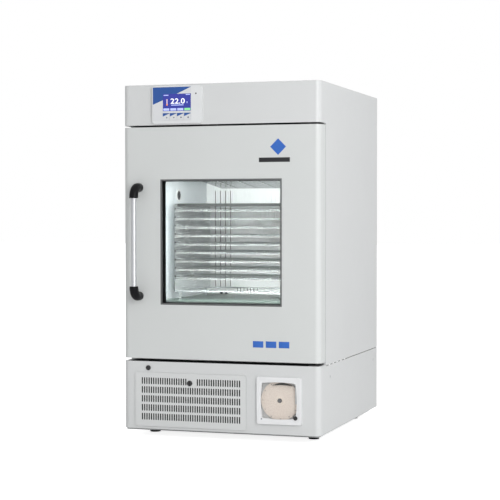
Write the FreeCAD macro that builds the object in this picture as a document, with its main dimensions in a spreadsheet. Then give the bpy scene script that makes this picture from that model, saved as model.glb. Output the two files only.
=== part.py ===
import FreeCAD, Part
import math
import os
import re

import Sketcher

# Bench-height platelet incubator with a windowed door, a reciprocating tray agitator,
# a circular chart recorder and a ventilated machine base.
#
# Every sub-part is drawn in the cabinet's own frame: x to the right from the centre line,
# y backwards from the door's front face, z up from the lower edge of the base panels.
# The placement of each sub-part then moves that frame to the model frame, whose origin is
# the middle of the footprint on the floor.

SIZES = {
    # whole cabinet
    "half_width": 325, "depth": 754, "height": 1090, "foot_height": 27, "corner_radius": 18,
    "front_plane": -347, "sheet": 2, "face_depth": 63, "side_seam": 212, "base_side_top": 210,
    "base_front_top": 214.5, "door_bottom": 224, "door_top": 956.4, "hood_bottom": 962.4,
    "door_depth": 57,
    # chamber
    "chamber_half": 250, "chamber_floor_level": 290, "chamber_top": 890, "liner_rear": 650,
    "liner_wall": 1.5, "duct_face": 571, "false_floor": 402, "plenum_bottom": 772,
    "plenum_front": 150, "plenum_lip": 815, "plenum_half": 193, "port_depth": 295, "port_level": 745,
    "port_radius": 18, "port_bore": 15, "port_flange": 22,
    "slit_first": -216.5, "slit_pitch": 18.7, "slit_radius": 1.5, "slit_low": 428,
    "slit_high": 765, "vent_slot_first": -135, "vent_slot_pitch": 12.2, "vent_low": 412,
    "vent_high": 426, "fan_level": 620, "fan_opening": 82,
    # window of the door
    "window_left": -199.3, "window_right": 201.8, "window_bottom": 395.4, "window_top": 791.5,
    "jamb_depth": 24, "lip": 6.5, "rebate": 10, "pane": 4, "pane_gap": 8,
    "gasket_outer": 298, "gasket_inner": 272, "gasket_low": 262, "gasket_high": 918,
    # door hinge and handle
    "hinge_x": 308, "hinge_y": 16, "pin_radius": 4, "running_gap": 0.05, "bracket": 3,
    "handle_x": -271, "handle_reach": 60, "handle_radius": 8, "collar_radius": 14,
    "handle_low": 422, "handle_high": 766, "elbow_bend": 30, "collar_low": 454,
    "collar_high": 732.5,
    # control panel
    "panel_left": -223, "panel_right": -56.8, "panel_low": 966.7, "panel_high": 1085,
    "panel_proud": 8, "panel_radius": 9, "film_left": -220.7, "film_right": -92,
    "film_low": 975.5, "film_high": 1081, "film": 0.6, "screen_left": -187,
    "screen_right": -93, "screen_low": 1005.6, "screen_high": 1059.5, "key_width": 21.9,
    "key_pitch": 23.9, "key_low": 977, "key_high": 999, "key_thick": 3.6, "key_proud": 8.2,
    # ventilated flap of the base
    "flap_left": -285, "flap_right": 86.3, "flap_low": 10.4, "flap_high": 179.7,
    "flap_front": -3.3, "flap_back": -0.8, "vent_left": -262.6,
    "vent_radius": 2, "vent_tall": 21.5, "row_top": 163.9, "row_pitch": 28.4,
    "vent_pitch": 7.76, "flap_lock_x": -100, "flap_lock_z": 149.4, "flap_lock_radius": 8.7,
    "lock_stem": 6, "door_lock_x": -241, "door_lock_z": 194.3, "door_lock_radius": 8,
    # chart recorder
    "bezel_left": 122.9, "bezel_right": 266.5, "bezel_low": 32.5, "bezel_high": 178,
    "well_left": 131.6, "well_right": 258, "well_low": 42, "well_high": 170,
    "view_left": 139.5, "view_right": 248, "view_low": 52, "view_high": 159.2,
    "view_bulge": 390, "flange_front": -3, "door_face": -8, "door_rear": -3.3,
    "chart_x": 194, "chart_z": 105, "chart_radius": 62, "pen_x": 247, "pen_z": 158,
    "small_lock_x": 248, "small_lock_z": 54, "small_lock_radius": 6.5, "barrel_radius": 1.5,
    # machine base
    "tray_half": 318, "tray_front": 8, "tray_rear": 664, "tray_drop": 5,
    "foot_x": 268.7, "foot_front": 128, "foot_rear": 626, "foot_radius": 17,
    "screw_front": 117, "screw_rear": 696, "screw_level": 172.5,
    # rear panel, mains entry and machine parts
    "rear_vent_first": -100, "rear_vent_tall": 28, "rear_vent_pitch": 14,
    "inlet_left": -262, "inlet_right": -178, "inlet_low": 58, "inlet_high": 92,
    "compressor_x": 130, "compressor_y": 560, "condenser_first": -250, "fin_pitch": 10,
    "condenser_front": 70, "condenser_rear": 108, "condenser_low": 12, "condenser_high": 190,
    "fan_x": -105, "fan_z": 99, "fan_frame_front": 110, "fan_frame_rear": 136,
    "case_depth": 120, "well_floor": 14,
    # agitator
    "rack_half": 211, "rack_front": 150, "rack_rear": 497, "rack_low": 428.5,
    "rack_high": 716.5, "rack_sheet": 1.5, "rack_corner": 12, "tray_level": 469, "tray_pitch": 27.56,
    "tray_half_width": 207, "tray_lip": 6.5, "tray_sheet": 1.2, "rod_radius": 6,
    "rod_level": 384, "rod_front": 200, "rod_back": 450, "crank_y": 325, "throw": 19,
    "crank_pin": 5, "yoke_gap": 4.5, "crank_top": 362, "yoke_front": 312, "yoke_rear": 361,
    "carriage_low": 372, "bearing_half": 12, "leg_half": 4, "leg_inner": 205,
    "slot_first": -193, "slot_pitch": 16.8, "slot_start": 190, "slot_step": 70,
    "slot_length": 52, "slot_radius": 2.2,
}
SLOT_COLUMNS = 24
SLOT_ROWS = 4
TRAY_COUNT = 9
KEY_COUNT = 4
VENT_COLUMNS = 43
VENT_ROWS = 5
REAR_VENT_COLUMNS = 26
REAR_VENT_LEVELS = (60, 100, 140)
DUCT_SLITS = 4
DUCT_VENTS = 7
CONDENSER_FINS = 30
FAN_BLADES = 5
BLADE_WIDTH = 24
BLADE_THICK = 1.6
BLADE_PITCH = 14

doc = FreeCAD.newDocument("Incubator")
sheet = doc.addObject("Spreadsheet::Sheet", "Sizes")
for row, (alias, number) in enumerate(SIZES.items(), start=1):
    sheet.set(f"A{row}", alias)
    sheet.set(f"B{row}", str(number))
    sheet.setAlias(f"B{row}", alias)
doc.recompute()

sub_parts = []


# %% Small helpers for bound sizes

def formula(text):
    """Turn plain words into references to the sheet's cells."""
    return re.sub(r"\b([a-z][a-z_]*)\b", r"Sizes.\1", str(text))


def value(text):
    return float(sheet.evalExpression(formula(text)))


def bind(item, prop, text):
    item.setExpression(prop, formula(text))


def around(half):
    """A span that is centred on zero."""
    return f"-({half})", half


def box(x, y, z):
    solid = doc.addObject("Part::Box", "Block")
    spans = zip(("Length", "Width", "Height"), "xyz", (x, y, z))
    for prop, axis, (low, high) in spans:
        bind(solid, f"Placement.Base.{axis}", low)
        bind(solid, prop, f"({high}) - ({low})")
    return solid


TURNS = {
    "x": FreeCAD.Rotation(FreeCAD.Vector(0, 1, 0), 90),
    "y": FreeCAD.Rotation(FreeCAD.Vector(1, 0, 0), -90),
    "z": FreeCAD.Rotation(),
}


def rod(axis, start, radius, length):
    """A cylinder from the point start, along the positive axis."""
    solid = doc.addObject("Part::Cylinder", "Rod")
    solid.Placement = FreeCAD.Placement(FreeCAD.Vector(), TURNS[axis])
    for name, text in zip("xyz", start):
        bind(solid, f"Placement.Base.{name}", text)
    bind(solid, "Radius", radius)
    bind(solid, "Height", length)
    return solid


def cut(base, *tools):
    for tool in tools:
        step = doc.addObject("Part::Cut", "Cut")
        step.Base = base
        step.Tool = tool
        base = step
    return base


def fuse(*solids):
    joined = doc.addObject("Part::MultiFuse", "Joined")
    joined.Shapes = list(solids)
    return joined


def several(*solids):
    group = doc.addObject("Part::Compound", "Several")
    group.Links = list(solids)
    return group


def ring(y, outer, inner):
    """Four strips round a rectangular opening; each rectangle is (left, right, low, high)."""
    left, right, low, high = outer
    open_left, open_right, open_low, open_high = inner
    return [box((left, open_left), y, (low, high)), box((open_right, right), y, (low, high)),
            box((open_left, open_right), y, (low, open_low)),
            box((open_left, open_right), y, (open_high, high))]


def finish(item, label):
    """Name a finished sub-part and move the cabinet's frame to the model frame."""
    if item.TypeId in ("Part::Box", "Part::Cylinder"):
        item = several(item)
    item.Label = label
    bind(item, "Placement.Base.y", "front_plane")
    bind(item, "Placement.Base.z", "foot_height")
    sub_parts.append(item)
    return item


# %% Helpers for sketched bodies

def origin_feature(body, role):
    return next(f for f in body.Origin.OriginFeatures if f.Role == role)


def new_sketch(body, plane, level):
    """A sketch parallel to an origin plane; level is its place along the plane's normal axis."""
    sketch = body.newObject("Sketcher::SketchObject", "Sketch")
    sketch.AttachmentSupport = (origin_feature(body, plane + "_Plane"), [""])
    sketch.MapMode = "FlatFace"
    sign = "-" if plane == "XZ" else ""
    bind(sketch, "AttachmentOffset.Base.z", f"{sign}({level})")
    return sketch


def pin_point(sketch, index, point, across, up):
    """Hold one point of the geometry at bound distances from the sketch's origin."""
    for kind, text, axis in (("DistanceX", across, -2), ("DistanceY", up, -1)):
        number = value(text)
        if abs(number) < 1e-9:
            sketch.addConstraint(Sketcher.Constraint("PointOnObject", index, point, axis))
        else:
            row = sketch.addConstraint(Sketcher.Constraint(kind, -1, 1, index, point, number))
            sketch.setExpression(f"Constraints[{row}]", formula(text))


def draw_polygon(sketch, corners):
    points = [FreeCAD.Vector(value(a), value(b), 0) for a, b in corners]
    first = sketch.GeometryCount
    for start, end in zip(points, points[1:] + points[:1]):
        sketch.addGeometry(Part.LineSegment(start, end))
    count = len(points)
    for step, (across, up) in enumerate(corners):
        sketch.addConstraint(Sketcher.Constraint(
            "Coincident", first + step, 2, first + (step + 1) % count, 1))
        pin_point(sketch, first + step, 1, across, up)


def draw_rectangle(sketch, across, up):
    left, right = across
    low, high = up
    draw_polygon(sketch, [(left, low), (right, low), (right, high), (left, high)])


def draw_circle(sketch, across, up, radius):
    centre = FreeCAD.Vector(value(across), value(up), 0)
    index = sketch.addGeometry(Part.Circle(centre, FreeCAD.Vector(0, 0, 1), value(radius)))
    pin_point(sketch, index, 3, across, up)
    row = sketch.addConstraint(Sketcher.Constraint("Radius", index, value(radius)))
    sketch.setExpression(f"Constraints[{row}]", formula(radius))


def draw_slot(sketch, across, low, high, radius):
    """An upright slot with round ends."""
    middle, half = value(across), value(radius)
    bottom, top = value(low) + half, value(high) - half
    up = FreeCAD.Vector(0, 0, 1)
    ends = [FreeCAD.Vector(middle - half, bottom, 0), FreeCAD.Vector(middle - half, top, 0),
            FreeCAD.Vector(middle + half, top, 0), FreeCAD.Vector(middle + half, bottom, 0)]
    left = sketch.addGeometry(Part.LineSegment(ends[0], ends[1]))
    cap = sketch.addGeometry(Part.ArcOfCircle(
        Part.Circle(FreeCAD.Vector(middle, top, 0), up, half), 0, math.pi))
    right = sketch.addGeometry(Part.LineSegment(ends[2], ends[3]))
    foot = sketch.addGeometry(Part.ArcOfCircle(
        Part.Circle(FreeCAD.Vector(middle, bottom, 0), up, half), math.pi, 2 * math.pi))
    for one, at, other, point in ((left, 2, cap, 2), (cap, 1, right, 1), (right, 2, foot, 2),
                                  (foot, 1, left, 1)):
        sketch.addConstraint(Sketcher.Constraint("Tangent", one, at, other, point))
    pin_point(sketch, cap, 3, across, f"{high} - {radius}")
    row = sketch.addConstraint(Sketcher.Constraint("Radius", cap, half))
    sketch.setExpression(f"Constraints[{row}]", formula(radius))
    row = sketch.addConstraint(Sketcher.Constraint("DistanceY", -1, 1, foot, 3, bottom))
    sketch.setExpression(f"Constraints[{row}]", formula(f"{low} + {radius}"))


def new_body(name):
    return doc.addObject("PartDesign::Body", name)


def pad(body, sketch, length, backwards=False):
    feature = body.newObject("PartDesign::Pad", "Pad")
    feature.Profile = sketch
    bind(feature, "Length", length)
    feature.Reversed = backwards
    return feature


def pocket(body, sketch, length, backwards=False):
    feature = body.newObject("PartDesign::Pocket", "Pocket")
    feature.Profile = sketch
    bind(feature, "Length", length)
    feature.Reversed = backwards
    return feature


def spin(body, sketch, axis):
    feature = body.newObject("PartDesign::Revolution", "Revolution")
    feature.Profile = sketch
    feature.ReferenceAxis = (origin_feature(body, axis + "_Axis"), [""])
    feature.Angle = 360
    return feature


def repeat(body, feature, axis, count, pitch):
    pattern = body.newObject("PartDesign::LinearPattern", "Row")
    pattern.Originals = [feature]
    pattern.Direction = (origin_feature(body, axis + "_Axis"), [""])
    bind(pattern, "Length", f"({pitch}) * {count - 1}")
    pattern.Occurrences = count
    body.Tip = pattern
    return pattern


def round_edges(body, feature, radius, wanted):
    """Fillet the straight edges whose direction and middle point the test wanted accepts."""
    doc.recompute()
    names = []
    for number, edge in enumerate(feature.Shape.Edges, start=1):
        if edge.Curve.TypeId != "Part::GeomLine":
            continue
        along = edge.tangentAt(edge.FirstParameter)
        if wanted(along, edge.CenterOfMass):
            names.append(f"Edge{number}")
    fillet = body.newObject("PartDesign::Fillet", "Fillet")
    fillet.Base = (feature, names)
    bind(fillet, "Radius", radius)
    return fillet


def panel(name, x, y, z, radius=None):
    """A plate that faces the front, with rounded corners."""
    body = new_body(name)
    sketch = new_sketch(body, "XZ", y[0])
    draw_rectangle(sketch, x, z)
    plate = pad(body, sketch, f"({y[1]}) - ({y[0]})", backwards=True)
    if radius:
        round_edges(body, plate, radius, lambda along, middle: abs(along.y) > 0.9)
    return body


def column(name, x, y, z, radius):
    """An upright block whose two front corners are rounded."""
    body = new_body(name)
    sketch = new_sketch(body, "XY", z[0])
    draw_rectangle(sketch, x, y)
    block = pad(body, sketch, f"({z[1]}) - ({z[0]})")
    front = value(y[0])
    round_edges(body, block, radius,
                lambda along, middle: abs(along.z) > 0.9 and abs(middle.y - front) < 0.1)
    return body


# %% Cabinet sheet metal

def cabinet_wrap():
    hood = cut(
        column("Hood", around("half_width"), ("0", "depth"),
               ("hood_bottom", "height - sheet"), "corner_radius"),
        column("HoodSpace", around("half_width - sheet"), ("sheet", "depth + sheet"),
               ("hood_bottom + sheet", "height"), "corner_radius - sheet"),
        box(around("half_width - sheet"), ("face_depth + sheet", "depth + sheet"),
            ("hood_bottom - sheet", "hood_bottom + 2 * sheet")),
    )
    left = cut(
        box(("-half_width", "sheet - half_width"), ("face_depth", "depth"),
            ("side_seam", "hood_bottom")),
        rod("x", ("-half_width - sheet", "port_depth", "port_level"), "port_radius",
            "3 * sheet"),
    )
    right = box(("half_width - sheet", "half_width"), ("face_depth", "depth"),
                ("side_seam", "hood_bottom"))
    frame = ring(("face_depth", "face_depth + sheet"),
                 ("sheet - half_width", "half_width - sheet", "side_seam", "hood_bottom"),
                 ("-chamber_half", "chamber_half", "chamber_floor_level", "chamber_top"))
    finish(several(hood, left, right, *frame), "cabinet_wrap")


def top_cover():
    finish(column("TopCover", around("half_width"), ("0", "depth"),
                  ("height - sheet", "height"), "corner_radius"), "top_cover")


def back_panel():
    body = panel("BackPanel", around("half_width - sheet"), ("depth - sheet", "depth"),
                 ("10", "height - sheet"))
    sketch = new_sketch(body, "XZ", "depth - 2 * sheet")
    for level in REAR_VENT_LEVELS:
        draw_slot(sketch, "rear_vent_first", str(level), f"{level} + rear_vent_tall", "3")
    vents = pocket(body, sketch, "4 * sheet")
    repeat(body, vents, "X", REAR_VENT_COLUMNS, "rear_vent_pitch")
    sketch = new_sketch(body, "XZ", "depth - 2 * sheet")
    draw_rectangle(sketch, ("inlet_left", "inlet_right"), ("inlet_low", "inlet_high"))
    pocket(body, sketch, "4 * sheet")
    finish(body, "back_panel")


def base_wrap():
    shell = cut(
        column("BaseOuter", around("half_width"), ("0", "depth"), ("0", "base_front_top"),
               "corner_radius"),
        column("BaseInner", around("half_width - sheet"), ("sheet", "depth + sheet"),
               ("-sheet", "base_front_top - sheet"), "corner_radius - sheet"),
        box(around("half_width + sheet"), ("face_depth", "depth + sheet"),
            ("base_side_top", "base_front_top + sheet")),
        box(("flap_left + 10", "flap_right - 10"), ("-sheet", "2 * sheet"),
            ("flap_low + 10", "flap_high - 8")),
        box(("bezel_left + 3", "bezel_right - 3"), ("-sheet", "2 * sheet"),
            ("bezel_low + 4", "bezel_high - 4")),
        rod("y", ("door_lock_x", "-sheet", "door_lock_z"), "door_lock_radius - 1",
            "4 * sheet"),
    )
    recesses = [rod("x", (start, along, "screw_level"), "5", "1")
                for start in ("-half_width", "half_width - 1")
                for along in ("screw_front", "screw_rear")]
    finish(cut(shell, *recesses), "base_wrap")


def base_tray():
    pan = cut(
        box(around("tray_half"), ("tray_front", "tray_rear"), ("-tray_drop", "0")),
        box(around("tray_half - 2"), ("tray_front + 2", "tray_rear - 2"), ("2 - tray_drop", "1")),
    )
    finish(pan, "base_tray")


def levelling_feet():
    feet = []
    for side in ("foot_x", "-foot_x"):
        for along in ("foot_front", "foot_rear"):
            pad_disc = rod("z", (side, along, "-foot_height"), "foot_radius", "12")
            boss = rod("z", (side, along, "12 - foot_height"), "foot_radius - 4", "6")
            stem = rod("z", (side, along, "18 - foot_height"), "5",
                       "foot_height - 18 - tray_drop")
            feet.append(fuse(pad_disc, boss, stem))
    finish(several(*feet), "levelling_feet")


# %% Chamber

def five_slabs(outer, inner, bore):
    """Left, right, bottom, top and rear slabs of an open-fronted shell, with a bored left one."""
    (half, front, rear, low, high), (open_half, open_rear, open_low, open_high) = outer, inner
    left = cut(box((f"-({half})", f"-({open_half})"), (front, rear), (low, high)), bore)
    right = box((open_half, half), (front, rear), (low, high))
    between = around(open_half)
    bottom = box(between, (front, rear), (low, open_low))
    top = box(between, (front, rear), (open_high, high))
    back = box(between, (open_rear, rear), (open_low, open_high))
    return several(left, right, bottom, top, back)


def port_hole():
    return rod("x", ("-half_width", "port_depth", "port_level"), "port_radius",
               "half_width - chamber_half + 2")


def insulation():
    outer = ("half_width - sheet", "face_depth + sheet", "depth - sheet", "side_seam",
             "hood_bottom")
    inner = ("chamber_half + liner_wall", "liner_rear + liner_wall",
             "chamber_floor_level - liner_wall", "chamber_top + liner_wall")
    finish(five_slabs(outer, inner, port_hole()), "insulation")


def chamber_liner():
    outer = ("chamber_half + liner_wall", "face_depth + sheet", "liner_rear + liner_wall",
             "chamber_floor_level - liner_wall", "chamber_top + liner_wall")
    inner = ("chamber_half", "liner_rear", "chamber_floor_level", "chamber_top")
    finish(five_slabs(outer, inner, port_hole()), "chamber_liner")


def air_duct_panel():
    body = panel("DuctPanel", around("chamber_half - 0.5"), ("duct_face", "duct_face + 1.5"),
                 ("false_floor", "chamber_top - 0.5"))
    front = "duct_face - 1"
    sketch = new_sketch(body, "XZ", front)
    draw_slot(sketch, "slit_first", "slit_low", "slit_high", "slit_radius")
    slits = pocket(body, sketch, "4")
    repeat(body, slits, "X", DUCT_SLITS, "slit_pitch")
    sketch = new_sketch(body, "XZ", front)
    draw_slot(sketch, "vent_slot_first", "vent_low", "vent_high", "slit_radius")
    slots = pocket(body, sketch, "4")
    repeat(body, slots, "X", DUCT_VENTS, "vent_slot_pitch")
    sketch = new_sketch(body, "XZ", front)
    draw_circle(sketch, "0", "fan_level", "fan_opening")
    pocket(body, sketch, "4")
    finish(body, "air_duct_panel")


def ceiling_plenum():
    """A baffle that slopes up towards the door and ends in an upright lip."""
    body = new_body("Plenum")
    sketch = new_sketch(body, "YZ", "-plenum_half")
    draw_polygon(sketch, [("duct_face", "plenum_bottom"), ("plenum_front", "plenum_lip"),
                          ("plenum_front", "chamber_top - 0.5"),
                          ("plenum_front + 1.5", "chamber_top - 0.5"),
                          ("plenum_front + 1.5", "plenum_lip + 1.4"),
                          ("duct_face", "plenum_bottom + 1.5")])
    pad(body, sketch, "2 * plenum_half")
    finish(body, "ceiling_plenum")


def chamber_floor():
    plate = box(around("chamber_half - 0.5"), ("face_depth + 5", "duct_face"),
                ("false_floor - 1.5", "false_floor"))
    level = ("false_floor - 3", "false_floor + 1")
    slots = [box(span, (f"{along} - leg_half - 3", f"{along} + leg_half + 3"), level)
             for along in ("rod_front", "rod_back")
             for span in (("leg_inner - throw - 3", "rack_half + throw + 3"),
                          ("-rack_half - throw - 3", "throw + 3 - leg_inner"))]
    finish(cut(plate, *slots), "chamber_floor")


def evaporator_coil():
    fins = [box((f"-160 + {8 * step}", f"-159 + {8 * step}"), ("580", "640"), ("790", "880"))
            for step in range(41)]
    tubes = [rod("x", ("-170", depth, level), "5", "340")
             for depth in ("596", "624") for level in ("805", "835", "865")]
    finish(fuse(*fins, *tubes), "evaporator_coil")


def cable_port():
    sleeve = cut(
        fuse(rod("x", ("-half_width", "port_depth", "port_level"), "port_radius",
                 "half_width - chamber_half"),
             rod("x", ("-chamber_half", "port_depth", "port_level"), "port_flange", "1.5")),
        rod("x", ("-half_width - 1", "port_depth", "port_level"), "port_bore",
            "half_width - chamber_half + 4"),
    )
    finish(sleeve, "cable_port")


def chamber_lamp():
    body = panel("Lamp", around("205"), ("76", "94"), ("chamber_top - 9", "chamber_top"), "3")
    finish(body, "chamber_lamp")


def fan_motor():
    can = rod("y", ("0", "616", "fan_level"), "38", "liner_rear - 616")
    shaft = rod("y", ("0", "596", "fan_level"), "4", "20")
    finish(fuse(can, shaft), "fan_motor")


# %% Door

def door_skin():
    shell = cut(
        column("DoorOuter", around("half_width"), ("0", "door_depth"),
               ("door_bottom", "door_top"), "corner_radius"),
        column("DoorInner", around("half_width - sheet"), ("sheet", "door_depth + sheet"),
               ("door_bottom + sheet", "door_top - sheet"), "corner_radius - sheet"),
    )
    jamb = box(("window_left - sheet", "window_right + sheet"), ("0", "jamb_depth"),
               ("window_bottom - sheet", "window_top + sheet"))
    opening = box(("window_left", "window_right"), ("-1", "jamb_depth + 1"),
                  ("window_bottom", "window_top"))
    bores = [rod("z", ("hinge_x", "hinge_y", level), "pin_radius + running_gap", "2 * sheet")
             for level in ("door_bottom - 1", "door_top - sheet - 1")]
    finish(cut(fuse(shell, jamb), opening, *bores), "door_skin")


def door_liner():
    slab = ring(("jamb_depth + 4", "door_depth"),
                ("0.3 + sheet - half_width", "half_width - sheet - 0.3",
                 "door_bottom + sheet + 0.3", "door_top - sheet - 0.3"),
                ("window_left - rebate - 2", "window_right + rebate + 2",
                 "window_bottom - rebate - 2", "window_top + rebate + 2"))
    finish(several(*slab), "door_liner")


def window_ring(y, outward, inward):
    """A frame that follows the window's edge."""
    return ring(y,
                (f"window_left - {outward}", f"window_right + {outward}",
                 f"window_bottom - {outward}", f"window_top + {outward}"),
                (f"window_left + {inward}", f"window_right - {inward}",
                 f"window_bottom + {inward}", f"window_top - {inward}"))


def window_pane(start):
    return box(("window_left - rebate", "window_right + rebate"), (start, f"{start} + pane"),
               ("window_bottom - rebate", "window_top + rebate"))


def window():
    lip_front = "jamb_depth"
    first = "jamb_depth + 3"
    second = "jamb_depth + 3 + pane + pane_gap"
    rear = "jamb_depth + 3 + 2 * pane + pane_gap"
    finish(several(*window_ring((lip_front, first), "rebate", "lip"),
                   *window_ring((f"{first} + pane", second), "rebate", "(lip - 3.5)"),
                   *window_ring((rear, "door_depth"), "rebate", "(3 - lip)")), "window_gasket")
    finish(several(window_pane(first), window_pane(second)), "window_panes")


def door_gasket():
    strips = ring(("door_depth", "face_depth - 0.2"),
                  ("-gasket_outer", "gasket_outer", "gasket_low", "gasket_high"),
                  ("-gasket_inner", "gasket_inner", "gasket_low + 18", "gasket_high - 18"))
    finish(several(*strips), "door_gasket")


def hinge_brackets():
    leaf_x = ("hinge_x - 22", "hinge_x + 12")
    leaf_y = ("hinge_y - 10", "face_depth - 6")
    upper = fuse(
        box(leaf_x, leaf_y, ("hood_bottom - bracket", "hood_bottom")),
        rod("z", ("hinge_x", "hinge_y", "door_top - 14"), "pin_radius",
            "hood_bottom - door_top + 14 - bracket / 2"),
    )
    lower = fuse(
        box(leaf_x, leaf_y, ("base_front_top", "base_front_top + bracket")),
        rod("z", ("hinge_x", "hinge_y", "base_front_top + bracket / 2"), "pin_radius",
            "door_bottom + 14 - base_front_top - bracket / 2"),
    )
    finish(several(upper, lower), "hinge_brackets")


def handle():
    grip = rod("z", ("handle_x", "-handle_reach + collar_radius", "collar_low - 10"),
               "handle_radius", "collar_high - collar_low + 20")
    finish(grip, "handle_bar")
    ends = [handle_end("handle_high", "collar_high", -1), handle_end("handle_low", "collar_low", 1)]
    finish(several(*ends), "handle_ends")


def handle_end(leg_level, mouth_level, toward_middle):
    """A quarter bend from the door's face to the bar, as a swept circle."""
    body = new_body("HandleEnd")
    path = new_sketch(body, "YZ", "handle_x")
    reach = value("-handle_reach + collar_radius")
    leg, mouth, bend = value(leg_level), value(mouth_level), value("elbow_bend")
    turn = leg + toward_middle * bend
    centre = FreeCAD.Vector(reach + bend, turn, 0)
    path.addGeometry(Part.LineSegment(FreeCAD.Vector(0, leg, 0),
                                      FreeCAD.Vector(reach + bend, leg, 0)))
    start = math.pi / 2 if toward_middle < 0 else math.pi
    path.addGeometry(Part.ArcOfCircle(Part.Circle(centre, FreeCAD.Vector(0, 0, 1), bend),
                                      start, start + math.pi / 2))
    path.addGeometry(Part.LineSegment(FreeCAD.Vector(reach, turn, 0),
                                      FreeCAD.Vector(reach, mouth, 0)))
    profile = new_sketch(body, "XZ", "0")
    draw_circle(profile, "handle_x", leg_level, "collar_radius")
    pipe = body.newObject("PartDesign::AdditivePipe", "Elbow")
    pipe.Profile = profile
    pipe.Spine = path
    socket = new_sketch(body, "XY", mouth_level)
    draw_circle(socket, "handle_x", "-handle_reach + collar_radius", "handle_radius")
    pocket(body, socket, "10", backwards=toward_middle < 0)
    return body


# %% Control panel

def control_panel():
    body = panel("ControlBezel", ("panel_left", "panel_right"), ("-panel_proud", "0"),
                 ("panel_low", "panel_high"), "panel_radius")
    shallow = new_sketch(body, "XZ", "-panel_proud")
    draw_rectangle(shallow, ("film_left", "film_right"), ("film_low", "film_high"))
    pocket(body, shallow, "film + 0.2")
    deep = new_sketch(body, "XZ", "-panel_proud")
    draw_rectangle(deep, ("screen_left - 1", "screen_right + 0.5"),
                   ("key_low - 0.5", "screen_high + 1"))
    pocket(body, deep, "panel_proud - 1")
    finish(body, "control_bezel")
    film_front = "0.2 - panel_proud"
    film = box(("film_left + 0.2", "film_right - 0.2"), (film_front, f"{film_front} + film"),
               ("film_low + 0.2", "film_high - 0.2"))
    screen_hole = box(("screen_left", "screen_right"), ("-panel_proud - 1", "0"),
                      ("screen_low", "screen_high"))
    key_holes = [key_block(number, "0.3", "-panel_proud - 1", "0")
                 for number in range(KEY_COUNT)]
    finish(cut(film, screen_hole, *key_holes), "control_overlay")
    finish(box(("screen_left", "screen_right"), ("0.5 - panel_proud", "-1"),
               ("screen_low", "screen_high")), "display_module")
    for number in range(KEY_COUNT):
        key = key_block(number, "0", "-key_proud", "key_thick - key_proud")
        finish(key, f"key_{number + 1}")


def key_block(number, margin, front, rear):
    left = f"screen_left + {number} * key_pitch"
    return box((f"{left} - {margin}", f"{left} + key_width + {margin}"), (front, rear),
               (f"key_low - {margin}", f"key_high + {margin}"))


# %% Ventilated flap and locks

def grille_flap():
    body = panel("GrilleFlap", ("flap_left", "flap_right"), ("flap_front", "flap_back"),
                 ("flap_low", "flap_high"), "5")
    front = "flap_front - 1"
    first = "vent_left + vent_radius"
    lower_rows = new_sketch(body, "XZ", front)
    for row in range(1, VENT_ROWS):
        top = f"row_top - {row} * row_pitch"
        draw_slot(lower_rows, first, f"{top} - vent_tall", top, "vent_radius")
    repeat(body, pocket(body, lower_rows, "5"), "X", VENT_COLUMNS, "vent_pitch")
    for start, count in ((0, 20), (24, 19)):
        top_row = new_sketch(body, "XZ", front)
        draw_slot(top_row, f"{first} + {start} * vent_pitch", "row_top - vent_tall", "row_top",
                  "vent_radius")
        repeat(body, pocket(body, top_row, "5"), "X", count, "vent_pitch")
    keyhole = new_sketch(body, "XZ", front)
    draw_circle(keyhole, "flap_lock_x", "flap_lock_z", "lock_stem + running_gap")
    pocket(body, keyhole, "5")
    barrel = rod("x", ("flap_left + 8", "(flap_front + flap_back) / 2", "flap_low - 1"),
                 "barrel_radius", "flap_right - flap_left - 16")
    finish(fuse(body, barrel), "grille_flap")


def lock_barrel(x, z, radius, stem, head, cam_at, cam_length):
    """A cam lock: round head with a key slot, stem, and a short cam behind the panel."""
    body = cut(
        fuse(rod("y", (x, head[0], z), radius, f"({head[1]}) - ({head[0]})"),
             rod("y", (x, head[1], z), stem, f"({cam_at}) + 2 - ({head[1]})")),
        box((f"{x} - 0.9", f"{x} + 0.9"), (f"{head[0]} - 1", f"{head[0]} + 1.5"),
            (f"{z} - {radius} * 0.55", f"{z} + {radius} * 0.55")),
    )
    cam = box((f"{x} - {cam_length}", f"{x} + 4"), (cam_at, f"{cam_at} + 2"),
              (f"{z} - 3.5", f"{z} + 3.5"))
    return fuse(body, cam)


def locks():
    finish(lock_barrel("flap_lock_x", "flap_lock_z", "flap_lock_radius", "lock_stem",
                       ("flap_front - 2.6", "flap_front - 0.1"), "1.2", "14"), "flap_lock")
    housing = cut(
        fuse(rod("y", ("door_lock_x", "-2.5", "door_lock_z"), "door_lock_radius", "2.5"),
             rod("y", ("door_lock_x", "0", "door_lock_z"), "door_lock_radius - 1", "16")),
        rod("y", ("door_lock_x", "-3", "door_lock_z"), "5 + running_gap", "20"),
    )
    finish(housing, "door_lock_housing")
    finish(lock_barrel("door_lock_x", "door_lock_z", "5", "4.9", ("-2.8", "0"), "16.4", "14"),
           "door_lock_plug")


# %% Chart recorder

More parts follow.
